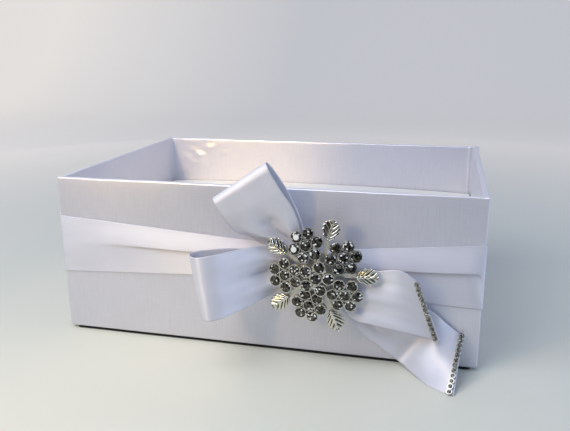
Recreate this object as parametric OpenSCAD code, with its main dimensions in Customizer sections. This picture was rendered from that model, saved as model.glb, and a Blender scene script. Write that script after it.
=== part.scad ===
// Open fabric-covered wedding card box with a satin sash, a gathered bow and a rhinestone brooch.
// Millimetres. The origin is on the table under the middle of the box, +X right along the front,
// +Y from the front to the back, +Z up.

/* [Box] */
// Outside width of the covered box, left to right
box_w = 265; // [220:1:330]
// Outside depth of the covered box, front to back
box_d = 178; // [140:1:240]
// Height of the rim above the table
box_h = 104; // [95:1:130]
// Thickness of the wall boards
board_t = 2.5; // [2:0.25:4]
// Thickness of the base board
base_t = 2.5; // [2:0.25:4]

/* [Cover fabric] */
// Thickness of the cover fabric with its backing paper
fabric_t = 0.5; // [0.3:0.05:0.8]
// How far the fabric is turned in under the base
hem_w = 14; // [8:1:25]

/* [Base felt] */
// Thickness of the felt that the box stands on
felt_t = 1.9; // [0.8:0.1:3]
// How far the felt is set in from the front and the back of the box
felt_side_inset = 1; // [0.5:0.5:8]
// How far the felt is set in from the two ends of the box
felt_end_inset = 3.5; // [2:0.5:8]

/* [Floor panel] */
// Depth from the rim to the top of the loose floor panel at its ends
panel_drop = 38; // [25:1:60]
// Thickness of the floor panel
panel_t = 2; // [1.5:0.25:4]
// Gap between the floor panel and the lined walls
panel_gap = 1.2; // [0.6:0.1:1.8]
// How far the floor panel bows up in the middle
panel_crown = 2.5; // [0.5:0.1:5]
// Thickness of the ledge boards that carry the floor panel
ledge_t = 3.5; // [3:0.25:6]
// Gap between the edge of the turned-in fabric and the ledge
turn_gap = 0.5; // [0.2:0.1:2]

/* [Ribbon] */
// Width of the satin ribbon
ribbon_w = 38.1; // [34:0.1:42]
// Thickness of the ribbon
ribbon_t = 0.5; // [0.3:0.05:0.7]
// Gap between the ribbon and what it lies on
lay_gap = 0.05; // [0.03:0.01:0.1]

/* [Sash] */
// Height of the middle of the sash at the middle of the box
sash_z = 59; // [52:0.5:66]
// How much lower the sash is at the right corner than at the left
sash_tilt = 1.7; // [0:0.1:4]
// Width of the sash where the knot draws it in
sash_pinch = 18; // [14:1:26]
// Height of the fold that runs along the drawn-in sash
sash_fold = 1.3; // [0.6:0.1:1.8]

/* [Bow] */
// Distance of the knot to the right of the middle of the box
knot_x = 40.5; // [20:0.5:60]
// How far the knot sits below the middle of the sash
knot_drop = 2; // [0:0.5:4]
// Radius of the knot
knot_r = 12; // [10:0.5:14]
// Thickness of the knot, from front to back
knot_t = 9; // [8:0.5:11]
// How deep the gathered ribbon goes into the knot
knot_bite = 1.5; // [0.5:0.1:2.5]
// Height of the pleats where the ribbon is gathered
pleat_h = 1.1; // [0.4:0.1:1.3]

/* [Rhinestone chain] */
// Pitch of the chain
chain_pitch = 3.15; // [3.05:0.05:4.5]
// Outside diameter of a chain cup
chain_cup_d = 3; // [2.2:0.1:3]
// Height of a chain cup
chain_cup_h = 1.5; // [1:0.1:2]
// Wall of a chain cup
chain_wall = 0.25; // [0.2:0.05:0.4]
// Distance from the middle of the chain to the cut end of the ribbon
chain_inset = 1.9; // [1.7:0.1:5]

/* [Brooch] */
// Radius from the middle of the brooch to the leaf tips
leaf_tip_r = 35; // [32:0.5:40]
// Length of a leaf
leaf_len = 13; // [10:0.5:14]
// Width of a leaf
leaf_w = 11; // [8:0.5:12]
// Radius from the middle of the brooch to the middle of a floret
floret_r = 18.8; // [18.6:0.1:21]
// Diameter of a stone
stone_d = 6.2; // [5:0.1:6.3]
// Distance between neighbouring stones, middle to middle
stone_pitch = 7.2; // [7.1:0.05:7.4]
// Wall of a stone cup
cup_wall = 0.4; // [0.3:0.05:0.4]
// How far the outer florets lean outwards
floret_lean = 8; // [0:1:10]
// Turn of the first leaf from the right
brooch_turn = 3; // [-36:1:36]
// Thickness of the brooch frame
frame_t = 1.2; // [1:0.1:2]
// Height of the post that carries the middle floret
post_h = 4.4; // [4.2:0.1:6]
// Thickness of the glue between knot and brooch
glue_t = 0.8; // [0.4:0.1:1.5]

/* [Hidden] */

// Carcass sizes that follow from the covered box
core_w = box_w - 2 * fabric_t;
core_d = box_d - 2 * fabric_t;
inner_w = core_w - 2 * board_t;
inner_d = core_d - 2 * board_t;
board_z = felt_t + fabric_t;
board_h = box_h - fabric_t - board_z;
ledge_z = board_z + base_t;
ledge_top = box_h - panel_drop - panel_t;
turn_z = ledge_top + turn_gap;
lining_w = inner_w - 2 * fabric_t;
lining_d = inner_d - 2 * fabric_t;
panel_w = lining_w - 2 * panel_gap;
panel_d = lining_d - 2 * panel_gap;
crown_r = pow(panel_w / 2, 2) / (2 * panel_crown) + panel_crown / 2;
// Fabric rounds the corners and the rim no more than leaves it some thickness over the boards
corner_r = 2 * fabric_t;
rim_r = 1.8 * fabric_t;
face_y = -box_d / 2;

// Places of the knot and the brooch, as distances in front of the front face
knot_z = sash_z - knot_drop;
knot_gap = 0.6;
knot_back = lay_gap + ribbon_t + sash_fold + knot_gap;
knot_front = knot_back + knot_t;
frame_back = knot_front + glue_t;
gather_r = knot_r - knot_bite;

// Brooch layout
petals = 5;
petal_turn = 360 / petals;
floret_stones = 6;
cup_r = stone_d / 2 + cup_wall;
cup_floor = 0.6;
cup_h = 2.4;
stone_gap = 0.05;
stone_sides = 8;

// Colours as the photo shows them
fabric_colour = "#dcdbe2";
satin_colour = "#eceaf0";
board_colour = "#a59c8c";
card_colour = "#e9e7e1";
felt_colour = "#1d1d1f";
silver_colour = "#b9b6a6";
stone_colour = "#4a4a4c";
glue_colour = "#e6dfc8";

// Curve helpers
function unit(v) = v / norm(v);
function mix(a, b, t) = a + (b - a) * t;
function clamp(x, low, high) = min(max(x, low), high);
// Smooth curve through stations p, with s counting stations
function along(p, s) =
    let (
        last = len(p) - 1,
        i = clamp(floor(s), 0, last - 1),
        t = s - i,
        a = p[max(i - 1, 0)],
        b = p[i],
        c = p[i + 1],
        d = p[min(i + 2, last)]
    )
    (2 * b + (c - a) * t + (2 * a - 5 * b + 4 * c - d) * t * t + (3 * b - a - 3 * c + d) * t * t * t) / 2;

// Places on the front of the box: x right of the knot, out from the front face, z above the knot
function from_knot(x, out, z) = [knot_x + x, face_y - out, knot_z + z];
// The middle of a gathered ribbon where it goes into the knot at an angle
function at_knot(angle, out) = from_knot(gather_r * cos(angle), out, gather_r * sin(angle));
// A ribbon station: its two edges, and the height of its pleats as a share of pleat_h
function station(middle, across, share, pleats = 0) =
    let (half = unit([across[0], -across[1], across[2]]) * ribbon_w * share / 2)
    [middle - half, middle + half, pleats * pleat_h];
// A station that leans with its upper edge by the front face and its lower edge on the table
lean_share = 0.96;
rest_z = 0.8 * ribbon_t;
function leaning(upper_x, upper_out, upper_z, lower_x) =
    let (
        rise = upper_z - rest_z,
        reach = sqrt(pow(ribbon_w * lean_share, 2) - pow(rise, 2) - pow(upper_x - lower_x, 2))
    )
    [
        [knot_x + lower_x, face_y - upper_out - reach, rest_z],
        [knot_x + upper_x, face_y - upper_out, upper_z],
        0
    ];

// The upper loop goes out to its fold at the upper left and back to the knot behind itself
upper_loop = [
    station(at_knot(122, 9), [0.85, 0, 0.53], 0.22, 0.7),
    station(from_knot(-18.6, 9.2, 19), [17, 0, 4], 0.46, 1),
    station(from_knot(-26.6, 10.6, 24.5), [28, 0, 10], 0.8, 0.8),
    station(from_knot(-32, 15, 31.5), [34, 0, 16], 1, 0.3),
    station(from_knot(-37, 20, 42.5), [35, 0, 18], 1),
    station(from_knot(-41.5, 23, 51), [33, 0, 21], 1),
    station(from_knot(-44, 19.5, 54.8), [32, 0, 22], 1),
    station(from_knot(-41.5, 15, 51), [33, 0, 21], 1),
    station(from_knot(-36, 11, 41), [35, 0, 17], 1),
    station(from_knot(-30, 8.5, 30), [34, 0, 12], 0.96, 0.3),
    station(from_knot(-22, 6.2, 19), [25, 0, 9], 0.72, 0.5),
    station(at_knot(122, 5.2), [0.85, 0, 0.53], 0.22, 0.6)
];
// The left loop swells forward to a round fold and comes back flat to the knot
left_loop = [
    station(at_knot(188, 8.8), [0, 0, 1], 0.2, 0.7),
    station(from_knot(-28, 9.4, -1), [-2, 0, 38], 0.76, 1),
    station(from_knot(-43, 23, -3), [-3, 0, 38], 0.94, 0.5),
    station(from_knot(-54, 36, -4), [-4, 0, 38], 1),
    station(from_knot(-61.5, 39.5, -4.6), [-5, 0, 38], 1),
    station(from_knot(-67, 34, -5.2), [-6, 0, 38], 1),
    station(from_knot(-67.5, 26.5, -5.8), [-6, 0, 38], 1),
    station(from_knot(-62.5, 20, -6.2), [-5, 0, 38], 1),
    station(from_knot(-48, 12, -6), [-3, 0, 38], 0.96, 0.3),
    station(from_knot(-30, 7, -4), [-1, 0, 38], 0.7, 0.6),
    station(at_knot(188, 5), [0, 0, 1], 0.2, 0.6)
];
// The upper tail stands off the front and ends in a slanting cut
upper_tail = [
    station(at_knot(-14, 8.8), [0.2, 0, 0.98], 0.24, 0.7),
    station(from_knot(20, 9, -10), [4, 0, 32], 0.8, 1),
    station(from_knot(33, 11, -12), [1, 0, 32], 0.88, 0.6),
    station(from_knot(49, 12.5, -12.5), [-5, 1, 38], 1, 0.2),
    station(from_knot(63.2, 12, -17.3), [-14, 3.5, 37], 1)
];
// The lower tail runs straight down beside the front, and its end rests on the table
lower_across = [0.47, 0, 0.88];
lower_start = at_knot(-52, 5);
lower_foot_x = 57;
lower_foot_out = 3.6;
lower_foot_gap = 2.4;
lower_foot = [
    knot_x + lower_foot_x,
    face_y - lower_foot_out,
    lower_foot_gap + ribbon_w / 2 * lower_across[2]
];
lower_tail = [
    station(lower_start, lower_across, 0.24, 0.6),
    station(mix(lower_start, lower_foot, 0.49), lower_across, 0.8, 0.8),
    station(mix(lower_start, lower_foot, 0.74), lower_across, 0.92, 0.3),
    station(lower_foot, lower_across, 1),
    leaning(73.5, 2.2, 29, 64),
    leaning(82.8, 1.8, 22, 78.8)
];

// A ribbon's point, with s along its stations and v from one edge to the other
pleat_count = 2;
function ribbon_point(r, s, v) =
    let (
        a = along([for (q = r) q[0]], s),
        b = along([for (q = r) q[1]], s),
        step = 0.01,
        t = clamp(s, step, len(r) - 1 - step),
        ahead = along([for (q = r) (q[0] + q[1]) / 2], t + step),
        behind = along([for (q = r) (q[0] + q[1]) / 2], t - step),
        normal = unit(cross(ahead - behind, b - a)),
        depth = max(along([for (q = r) q[2]], s), 0)
    )
    mix(a, b, v) + normal * depth * cos(360 * pleat_count * v);
function ribbon_normal(r, s, v) =
    let (
        step = 0.02,
        t = clamp(s, step, len(r) - 1 - step),
        w = clamp(v, step, 1 - step)
    )
    unit(cross(
        ribbon_point(r, t + step, w) - ribbon_point(r, t - step, w),
        ribbon_point(r, t, w + step) - ribbon_point(r, t, w - step)
    ));

// Solid of a ribbon: its two faces, its two edges and its two ends
module ribbon(r, per_station = 3, columns = 10) {
    rows = (len(r) - 1) * per_station;
    wide = columns + 1;
    layer = (rows + 1) * wide;
    grid = [
        for (i = [0:rows], j = [0:columns])
            let (s = i / per_station, v = j / columns)
            [ribbon_point(r, s, v), ribbon_normal(r, s, v) * ribbon_t / 2]
    ];
    points = concat([for (g = grid) g[0] + g[1]], [for (g = grid) g[0] - g[1]]);
    front = [
        for (i = [0:rows - 1], j = [0:columns - 1])
            let (a = i * wide + j, b = a + wide)
            each [[b + 1, b, a], [a + 1, b + 1, a]]
    ];
    back = [for (f = front) [f[2] + layer, f[1] + layer, f[0] + layer]];
    rim = concat(
        [for (j = [0:columns - 1]) [j, j + 1]],
        [for (i = [0:rows - 1]) [i * wide + columns, (i + 1) * wide + columns]],
        [for (j = [columns:-1:1]) [rows * wide + j, rows * wide + j - 1]],
        [for (i = [rows:-1:1]) [i * wide, (i - 1) * wide]]
    );
    edges = [for (e = rim) each [[e[0], e[0] + layer, e[1] + layer], [e[0], e[1] + layer, e[1]]]];
    polyhedron(points, concat(front, back, edges), convexity = 10);
}

// Outline of the covered box from one side, with both upper edges rounded
module cover_outline(width) {
    translate([-width / 2, felt_t])
        square([width, box_h - rim_r - felt_t]);
    translate([-width / 2 + rim_r, felt_t])
        square([width - 2 * rim_r, box_h - felt_t]);
    for (x = [-1, 1])
        translate([x * (width / 2 - rim_r), box_h - rim_r])
            circle(rim_r, $fn = 48);
}

// Outline of the opening between the turned-in edges, widening round the rim in steps
rim_steps = 6;
module opening_outline(width) {
    flare = [
        for (i = [0:rim_steps])
            let (a = 90 * i / rim_steps)
            [width / 2 + rim_r * (1 - cos(a)), box_h - rim_r + rim_r * sin(a)]
    ];
    right = concat(
        [[width / 2, turn_z - turn_gap]],
        flare,
        [[width / 2 + rim_r, box_h + rim_r]]
    );
    left = [for (i = [len(right) - 1:-1:0]) [-right[i][0], right[i][1]]];
    polygon(concat(right, left));
}

// What lies within two outlines, the first seen from the front and the second from the side
module within_both() {
    intersection() {
        rotate([90, 0, 0])
            linear_extrude(2 * box_d, center = true)
                children(0);
        rotate([90, 0, 90])
            linear_extrude(2 * box_w, center = true)
                children(1);
    }
}

// Room in the cover for the boards, and for everything below its turned-in edge
module cover_room() {
    difference() {
        translate([-core_w / 2, -core_d / 2, board_z])
            cube([core_w, core_d, board_h]);
        translate([-inner_w / 2, -inner_d / 2, turn_z])
            cube([inner_w, inner_d, board_h]);
    }
}

module rounded_rectangle(w, d, r) {
    square([w - 2 * r, d], center = true);
    square([w, d - 2 * r], center = true);
    for (x = [-1, 1], y = [-1, 1])
        translate([x * (w / 2 - r), y * (d / 2 - r)])
            circle(r, $fn = 48);
}

module fabric_cover() {
    color(fabric_colour)
        difference() {
            intersection() {
                within_both() {
                    cover_outline(box_w);
                    cover_outline(box_d);
                }
                linear_extrude(box_h)
                    rounded_rectangle(box_w, box_d, corner_r);
            }
            within_both() {
                opening_outline(lining_w);
                opening_outline(lining_d);
            }
            cover_room();
            translate([hem_w - box_w / 2, hem_w - box_d / 2, 0])
                cube([box_w - 2 * hem_w, box_d - 2 * hem_w, board_z + base_t]);
        }
}

module base_felt() {
    color(felt_colour)
        linear_extrude(felt_t)
            rounded_rectangle(box_w - 2 * felt_end_inset, box_d - 2 * felt_side_inset, felt_end_inset);
}

module base_board() {
    color(board_colour)
        translate([-inner_w / 2, -inner_d / 2, board_z])
            cube([inner_w, inner_d, base_t]);
}

// The front and back boards run the full width, and the end boards fit between them
module long_board(side) {
    color(board_colour)
        translate([-core_w / 2, side * (core_d - board_t) / 2 - board_t / 2, board_z])
            cube([core_w, board_t, board_h]);
}
module end_board(side) {
    color(board_colour)
        translate([side * (core_w - board_t) / 2 - board_t / 2, -inner_d / 2, board_z])
            cube([board_t, inner_d, board_h]);
}
module front_board() {
    long_board(-1);
}
module back_board() {
    long_board(1);
}
module left_board() {
    end_board(-1);
}
module right_board() {
    end_board(1);
}

// Ledge boards stand on the base against the walls
module long_ledge(side) {
    color(card_colour)
        translate([-inner_w / 2, side * (inner_d - ledge_t) / 2 - ledge_t / 2, ledge_z])
            cube([inner_w, ledge_t, ledge_top - ledge_z]);
}
module end_ledge(side) {
    color(card_colour)
        translate([side * (inner_w - ledge_t) / 2 - ledge_t / 2, -inner_d / 2 + ledge_t, ledge_z])
            cube([ledge_t, inner_d - 2 * ledge_t, ledge_top - ledge_z]);
}
module ledge_front() {
    long_ledge(-1);
}
module ledge_back() {
    long_ledge(1);
}
module ledge_left() {
    end_ledge(-1);
}
module ledge_right() {
    end_ledge(1);
}

// The loose floor panel bows up in the middle and rests on the ledges at its two ends
module floor_panel() {
    color(card_colour)
        rotate([90, 0, 0])
            linear_extrude(panel_d, center = true)
                intersection() {
                    translate([-panel_w / 2, ledge_top])
                        square([panel_w, panel_crown + panel_t + 1]);
                    difference() {
                        translate([0, ledge_top + panel_crown + panel_t - crown_r])
                            circle(crown_r, $fn = 1440);
                        translate([0, ledge_top + panel_crown - crown_r])
                            circle(crown_r, $fn = 1440);
                    }
                }
}

// Plan of the sash: a place and an outward direction at each step round the box, from the back
sash_r = corner_r + lay_gap;
sash_front_steps = 26;
sash_corner_steps = 4;
function sash_corner(x, y, from) = [
    for (i = [0:sash_corner_steps])
        let (a = from + 90 * i / sash_corner_steps)
        [
            x * (box_w / 2 - corner_r) + sash_r * cos(a),
            y * (box_d / 2 - corner_r) + sash_r * sin(a),
            a
        ]
];
sash_plan = concat(
    sash_corner(-1, 1, 90),
    sash_corner(-1, -1, 180),
    [
        for (i = [1:sash_front_steps - 1])
            [mix(-box_w / 2 + corner_r, box_w / 2 - corner_r, i / sash_front_steps), face_y - lay_gap, 270]
    ],
    sash_corner(1, -1, 270),
    sash_corner(1, 1, 0)
);
// The sash is at its full width at the corners and drawn in to the knot, on the right mostly from above
late_pull = 2.5;
function on_front(p) = p[2] == 270;
function left_of_knot(p) = p[0] < knot_x;
function sash_run(p) = box_w / 2 + (left_of_knot(p) ? knot_x : -knot_x);
function sash_pull(p) = on_front(p) ? 1 - abs(p[0] - knot_x) / sash_run(p) : 0;
function lower_pull(p) = pow(sash_pull(p), left_of_knot(p) ? 1 : late_pull);
function sash_middle(p) = sash_z - sash_tilt * p[0] / box_w;
function sash_upper(p) = sash_middle(p) + mix(ribbon_w, sash_pinch, sash_pull(p)) / 2;
function sash_lower(p) = sash_middle(p) - mix(ribbon_w, sash_pinch, lower_pull(p)) / 2;
// Across the sash, the band above the fold stands over the band below it
fold_at = 0.58;
sash_section = [
    [0, 0],
    [0.3, 0.1],
    [fold_at - 0.02, 0.3],
    [fold_at, 1],
    [fold_at + 0.05, 0.95],
    [0.8, 0.45],
    [1, 0.1]
];
// On the left the fold fades out before the corner
fold_reach = 1.4;
function fold_share(p) = left_of_knot(p) ? clamp(fold_reach * sash_pull(p), 0, 1) : 1;
function fold_height(p) = on_front(p) ? sash_fold * fold_share(p) : 0;
function sash_point(p, c, out) =
    let (reach = fold_height(p) * c[1] + out)
    [
        p[0] + reach * cos(p[2]),
        p[1] + reach * sin(p[2]),
        mix(sash_lower(p), sash_upper(p), c[0])
    ];
module sash_band() {
    steps = len(sash_plan);
    across = len(sash_section);
    ring = concat(
        [for (c = [0:across - 1]) [sash_section[c], 0]],
        [for (c = [across - 1:-1:0]) [sash_section[c], ribbon_t]]
    );
    sides = len(ring);
    points = [for (p = sash_plan, c = ring) sash_point(p, c[0], c[1])];
    faces = [
        for (i = [0:steps - 1], j = [0:sides - 1])
            let (
                n = (i + 1) % steps,
                k = (j + 1) % sides,
                a = i * sides + j,
                b = n * sides + j,
                c = n * sides + k,
                d = i * sides + k
            )
            each [[a, b, c], [a, c, d]]
    ];
    color(satin_colour)
        polyhedron(points, faces, convexity = 10);
}

module bow_knot() {
    round_r = knot_t / 2;
    color(satin_colour)
        translate([knot_x, face_y - knot_back, knot_z])
            rotate([90, 0, 0])
                rotate_extrude($fn = 96) {
                    square([knot_r - round_r, knot_t]);
                    intersection() {
                        translate([knot_r - round_r, round_r])
                            circle(round_r, $fn = 48);
                        square([knot_r, knot_t]);
                    }
                }
}
module bow_upper_loop() {
    color(satin_colour)
        ribbon(upper_loop);
}
module bow_left_loop() {
    color(satin_colour)
        ribbon(left_loop);
}
module bow_upper_tail() {
    color(satin_colour)
        ribbon(upper_tail, 4);
}
module bow_lower_tail() {
    color(satin_colour)
        ribbon(lower_tail, 4);
}

// Rhinestone chain: cups in a row on the front of a tail, parallel with its cut end
chain_seat = chain_cup_d / 2 - chain_wall;
chain_floor = 0.4;
chain_table = 0.55;
chain_crown = 0.5;
chain_count = floor((ribbon_w - chain_cup_d) / chain_pitch) + 1;
function chain_station(r) =
    let (
        last = len(r) - 1,
        step = 0.2,
        reach = norm(ribbon_point(r, last, 0.5) - ribbon_point(r, last - step, 0.5)) / step
    )
    last - chain_inset / reach;
module along_chain(r) {
    s = chain_station(r);
    across = ribbon_point(r, s, 1) - ribbon_point(r, s, 0);
    for (i = [0:chain_count - 1]) {
        v = 0.5 + (i - (chain_count - 1) / 2) * chain_pitch / norm(across);
        p = ribbon_point(r, s, v);
        n = ribbon_normal(r, s, v);
        w = unit(cross(n, across));
        x = cross(w, n);
        base = p + n * (ribbon_t / 2 + 2 * lay_gap);
        multmatrix([
            [x[0], w[0], n[0], base[0]],
            [x[1], w[1], n[1], base[1]],
            [x[2], w[2], n[2], base[2]],
            [0, 0, 0, 1]
        ])
            children();
    }
}
module chain_cup() {
    difference() {
        cylinder(r = chain_cup_d / 2, h = chain_cup_h, $fn = 32);
        translate([0, 0, chain_floor])
            cylinder(r = chain_seat, h = chain_cup_h, $fn = 32);
    }
}
module chain_stone() {
    girdle = chain_seat - stone_gap;
    translate([0, 0, chain_floor])
        cylinder(r = girdle, h = chain_cup_h - chain_floor, $fn = stone_sides);
    translate([0, 0, chain_cup_h])
        cylinder(r1 = girdle, r2 = girdle * chain_table, h = girdle * chain_crown, $fn = stone_sides);
}
module upper_chain_cups() {
    color(silver_colour)
        along_chain(upper_tail)
            chain_cup();
}
module upper_chain_stones() {
    color(stone_colour)
        along_chain(upper_tail)
            chain_stone();
}
module lower_chain_cups() {
    color(silver_colour)
        along_chain(lower_tail)
            chain_cup();
}
module lower_chain_stones() {
    color(stone_colour)
        along_chain(lower_tail)
            chain_stone();
}

// The brooch lies in its own plane, facing forwards, with its back on the glue
module at_brooch() {
    translate([knot_x, face_y - frame_back, knot_z])
        rotate([90, 0, 0])
            children();
}
module at_floret(k) {
    rotate(brooch_turn + petal_turn * (k + 0.5))
        translate([floret_r, 0, frame_t])
            rotate([0, floret_lean, 0])
                children();
}

module brooch_glue() {
    color(glue_colour)
        translate([knot_x, face_y - knot_front, knot_z])
            rotate([90, 0, 0])
                cylinder(r = knot_r - knot_t / 2, h = glue_t, $fn = 64);
}

// Frame: a hub with a post, a seat under each floret and a stem out to each leaf
seat_r = stone_pitch;
stem_w = 2.4;
stem_seat = 4;
hub_r = 9;
post_r = 5;
module brooch_frame() {
    leaf_base_r = leaf_tip_r - leaf_len;
    color(silver_colour)
        at_brooch() {
            cylinder(r = hub_r, h = frame_t, $fn = 64);
            cylinder(r = post_r, h = frame_t + post_h, $fn = 64);
            for (k = [0:petals - 1]) {
                at_floret(k)
                    translate([0, 0, -frame_t])
                        cylinder(r = seat_r, h = frame_t, $fn = 64);
                rotate(brooch_turn + petal_turn * (k + 0.5))
                    translate([0, -stem_w / 2, 0])
                        cube([floret_r, stem_w, frame_t / 2]);
                rotate(brooch_turn + petal_turn * k)
                    translate([0, -stem_w / 2, 0])
                        cube([leaf_base_r + stem_seat, stem_w, frame_t]);
            }
        }
}

// A leaf: a toothed blade folded along a raised midrib, with a vein to each tooth
leaf_teeth = 5;
leaf_steps = leaf_teeth + 0.6;
leaf_t = 0.9;
leaf_root = 0.9;
leaf_fall = 12;
rib_r = 0.6;
rib_share = 0.93;
vein_r = 0.32;
vein_share = 0.9;
vein_root = 0.72;
tooth_hook = 0.06;
notch_share = 0.68;
// Half width of the leaf at a share of its length, widest a little past the middle
widest = 0.8;
fullness = 0.75;
function leaf_half(t) = leaf_w / 2 * pow(sin(180 * pow(t, widest)), fullness);
function tooth_tip(i) =
    let (t = (i + 0.75) / leaf_steps)
    [leaf_len * (t + tooth_hook), leaf_half(t)];
function tooth_notch(i) =
    let (t = (i + 1.1) / leaf_steps)
    [leaf_len * t, leaf_half(t) * notch_share];
leaf_edge = concat(
    [[0, leaf_root]],
    [for (i = [0:leaf_teeth - 1]) each [tooth_tip(i), tooth_notch(i)]],
    [[leaf_len, 0]]
);
module leaf_outline() {
    last = len(leaf_edge) - 1;
    polygon(concat(leaf_edge, [for (i = [last - 1:-1:0]) [leaf_edge[i][0], -leaf_edge[i][1]]]));
}
// The blade in section across the leaf, with both halves falling away from the midrib
module leaf_section() {
    reach = leaf_w;
    fall = reach * tan(leaf_fall);
    lower = [[-reach, -fall], [0, 0], [reach, -fall]];
    polygon(concat(lower, [for (i = [2:-1:0]) lower[i] + [0, leaf_t]]));
}
module leaf() {
    fn = 16;
    intersection() {
        translate([0, 0, -leaf_w])
            linear_extrude(2 * leaf_w)
                leaf_outline();
        rotate([90, 0, 90])
            linear_extrude(leaf_len)
                leaf_section();
    }
    for (side = [0, 1])
        mirror([0, side, 0])
            translate([0, 0, leaf_t])
                rotate([-leaf_fall, 0, 0])
                    for (i = [0:leaf_teeth - 1]) {
                        tip = tooth_tip(i) * vein_share;
                        root = [tip[0] * vein_root, 0];
                        run = tip - root;
                        translate(root)
                            rotate([0, 90, atan2(run[1], run[0])])
                                rotate(180 / fn)
                                    cylinder(r = vein_r, h = norm(run), $fn = fn);
                    }
    translate([0, 0, leaf_t])
        rotate([0, 90, 0])
            cylinder(r = rib_r, h = leaf_len * rib_share, $fn = 24);
}
// A leaf stands on the end of its stem on a small pad
module placed_leaf(k) {
    pad_h = 1;
    pad_inset = 0.2;
    pad_len = stem_seat - 2 * pad_inset;
    color(silver_colour)
        at_brooch()
            rotate(brooch_turn + petal_turn * k)
                translate([leaf_tip_r - leaf_len, 0, frame_t]) {
                    translate([pad_inset, -stem_w / 2, 0])
                        cube([pad_len, stem_w, pad_h + leaf_t / 2]);
                    translate([0, 0, pad_h])
                        leaf();
                }
}

// Cups of one floret on a common base: one in the middle and a ring round it
module setting(count, ring_r, turn) {
    base_h = 0.5;
    cylinder(r = ring_r, h = base_h, $fn = 64);
    at_stones(count, ring_r, turn)
        cup();
}
// A cup with claws that stand in its wall and hook over the crown of the stone
module cup() {
    claws = 4;
    claw_r = 0.3;
    claw_z = 0.3;
    claw_h = 2.7;
    hook_r = 0.25;
    hook_len = 0.8;
    hook_tilt = 62;
    seat = stone_d / 2 + stone_gap;
    difference() {
        cylinder(r = cup_r, h = cup_h, $fn = 40);
        translate([0, 0, cup_floor])
            cylinder(r = seat, h = cup_h, $fn = 40);
    }
    for (i = [0:claws - 1])
        rotate(360 / claws * (i + 0.5))
            translate([(seat + cup_r) / 2, 0, 0]) {
                translate([0, 0, claw_z])
                    cylinder(r = claw_r, h = claw_h - claw_z, $fn = 16);
                translate([0, 0, claw_h - claw_r])
                    rotate([0, -hook_tilt, 0])
                        cylinder(r = hook_r, h = hook_len, $fn = 16);
            }
}
module at_stones(count, ring_r, turn) {
    children();
    for (i = [0:count - 1])
        rotate(turn + 360 / count * i)
            translate([ring_r, 0, 0])
                children();
}
// A stone: pavilion, girdle and crown with a flat table, its flats towards the claws
module stone() {
    girdle = stone_d / 2;
    culet = girdle * 0.3;
    table = girdle * 0.58;
    pavilion_h = 1.3;
    girdle_h = 0.3;
    crown_h = 1;
    rotate(180 / stone_sides)
        translate([0, 0, cup_floor]) {
            cylinder(r1 = culet, r2 = girdle, h = pavilion_h, $fn = stone_sides);
            translate([0, 0, pavilion_h])
                cylinder(r = girdle, h = girdle_h, $fn = stone_sides);
            translate([0, 0, pavilion_h + girdle_h])
                cylinder(r1 = girdle, r2 = table, h = crown_h, $fn = stone_sides);
        }
}
// The outer florets have two stones towards the rim, so the ring starts half a step round
floret_turn = 180 / floret_stones;
module floret_setting(k) {
    color(silver_colour)
        at_brooch()
            at_floret(k)
                setting(floret_stones, stone_pitch, floret_turn);
}
module floret_gems(k) {
    color(stone_colour)
        at_brooch()
            at_floret(k)
                at_stones(floret_stones, stone_pitch, floret_turn)
                    stone();
}
// The middle floret is raised on the post, over the inner stones of the others
middle_ring_r = stone_pitch;
module middle_setting() {
    color(silver_colour)
        at_brooch()
            translate([0, 0, frame_t + post_h])
                setting(petals, middle_ring_r, brooch_turn);
}
module middle_stones() {
    color(stone_colour)
        at_brooch()
            translate([0, 0, frame_t + post_h])
                at_stones(petals, middle_ring_r, brooch_turn)
                    stone();
}

base_felt();
base_board();
front_board();
back_board();
left_board();
right_board();
fabric_cover();
ledge_front();
ledge_back();
ledge_left();
ledge_right();
floor_panel();
sash_band();
bow_knot();
bow_upper_loop();
bow_left_loop();
bow_upper_tail();
bow_lower_tail();
upper_chain_cups();
upper_chain_stones();
lower_chain_cups();
lower_chain_stones();
brooch_glue();
brooch_frame();
placed_leaf(0);  // leaf_1
placed_leaf(1);  // leaf_2
placed_leaf(2);  // leaf_3
placed_leaf(3);  // leaf_4
placed_leaf(4);  // leaf_5
floret_setting(0);  // floret_1_setting
floret_setting(1);  // floret_2_setting
floret_setting(2);  // floret_3_setting
floret_setting(3);  // floret_4_setting
floret_setting(4);  // floret_5_setting
floret_gems(0);  // floret_1_stones
floret_gems(1);  // floret_2_stones
floret_gems(2);  // floret_3_stones
floret_gems(3);  // floret_4_stones
floret_gems(4);  // floret_5_stones
middle_setting();
middle_stones();
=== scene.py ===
"""Dresses the wedding card box: cover cloth, satin sash and bow, rhinestone chains, brooch and stage."""

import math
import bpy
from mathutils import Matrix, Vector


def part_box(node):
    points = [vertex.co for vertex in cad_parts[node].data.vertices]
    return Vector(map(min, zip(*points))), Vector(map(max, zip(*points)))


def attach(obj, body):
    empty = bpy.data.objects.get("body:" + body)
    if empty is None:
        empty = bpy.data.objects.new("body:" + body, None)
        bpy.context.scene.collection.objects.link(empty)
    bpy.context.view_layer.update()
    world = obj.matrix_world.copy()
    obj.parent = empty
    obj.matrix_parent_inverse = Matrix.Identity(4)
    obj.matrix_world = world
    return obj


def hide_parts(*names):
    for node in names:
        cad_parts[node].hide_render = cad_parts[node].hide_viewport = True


bl_info = {
    "name": "Wedding Card Box",
    "version": (1, 0, 0),
    "blender": (4, 5, 0),
    "location": "View3D > Sidebar > Card Box",
    "description": "Builds the cloth, ribbon, stones and stage of a wedding card box round its solid model",
    "category": "Add Mesh",
}

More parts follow.
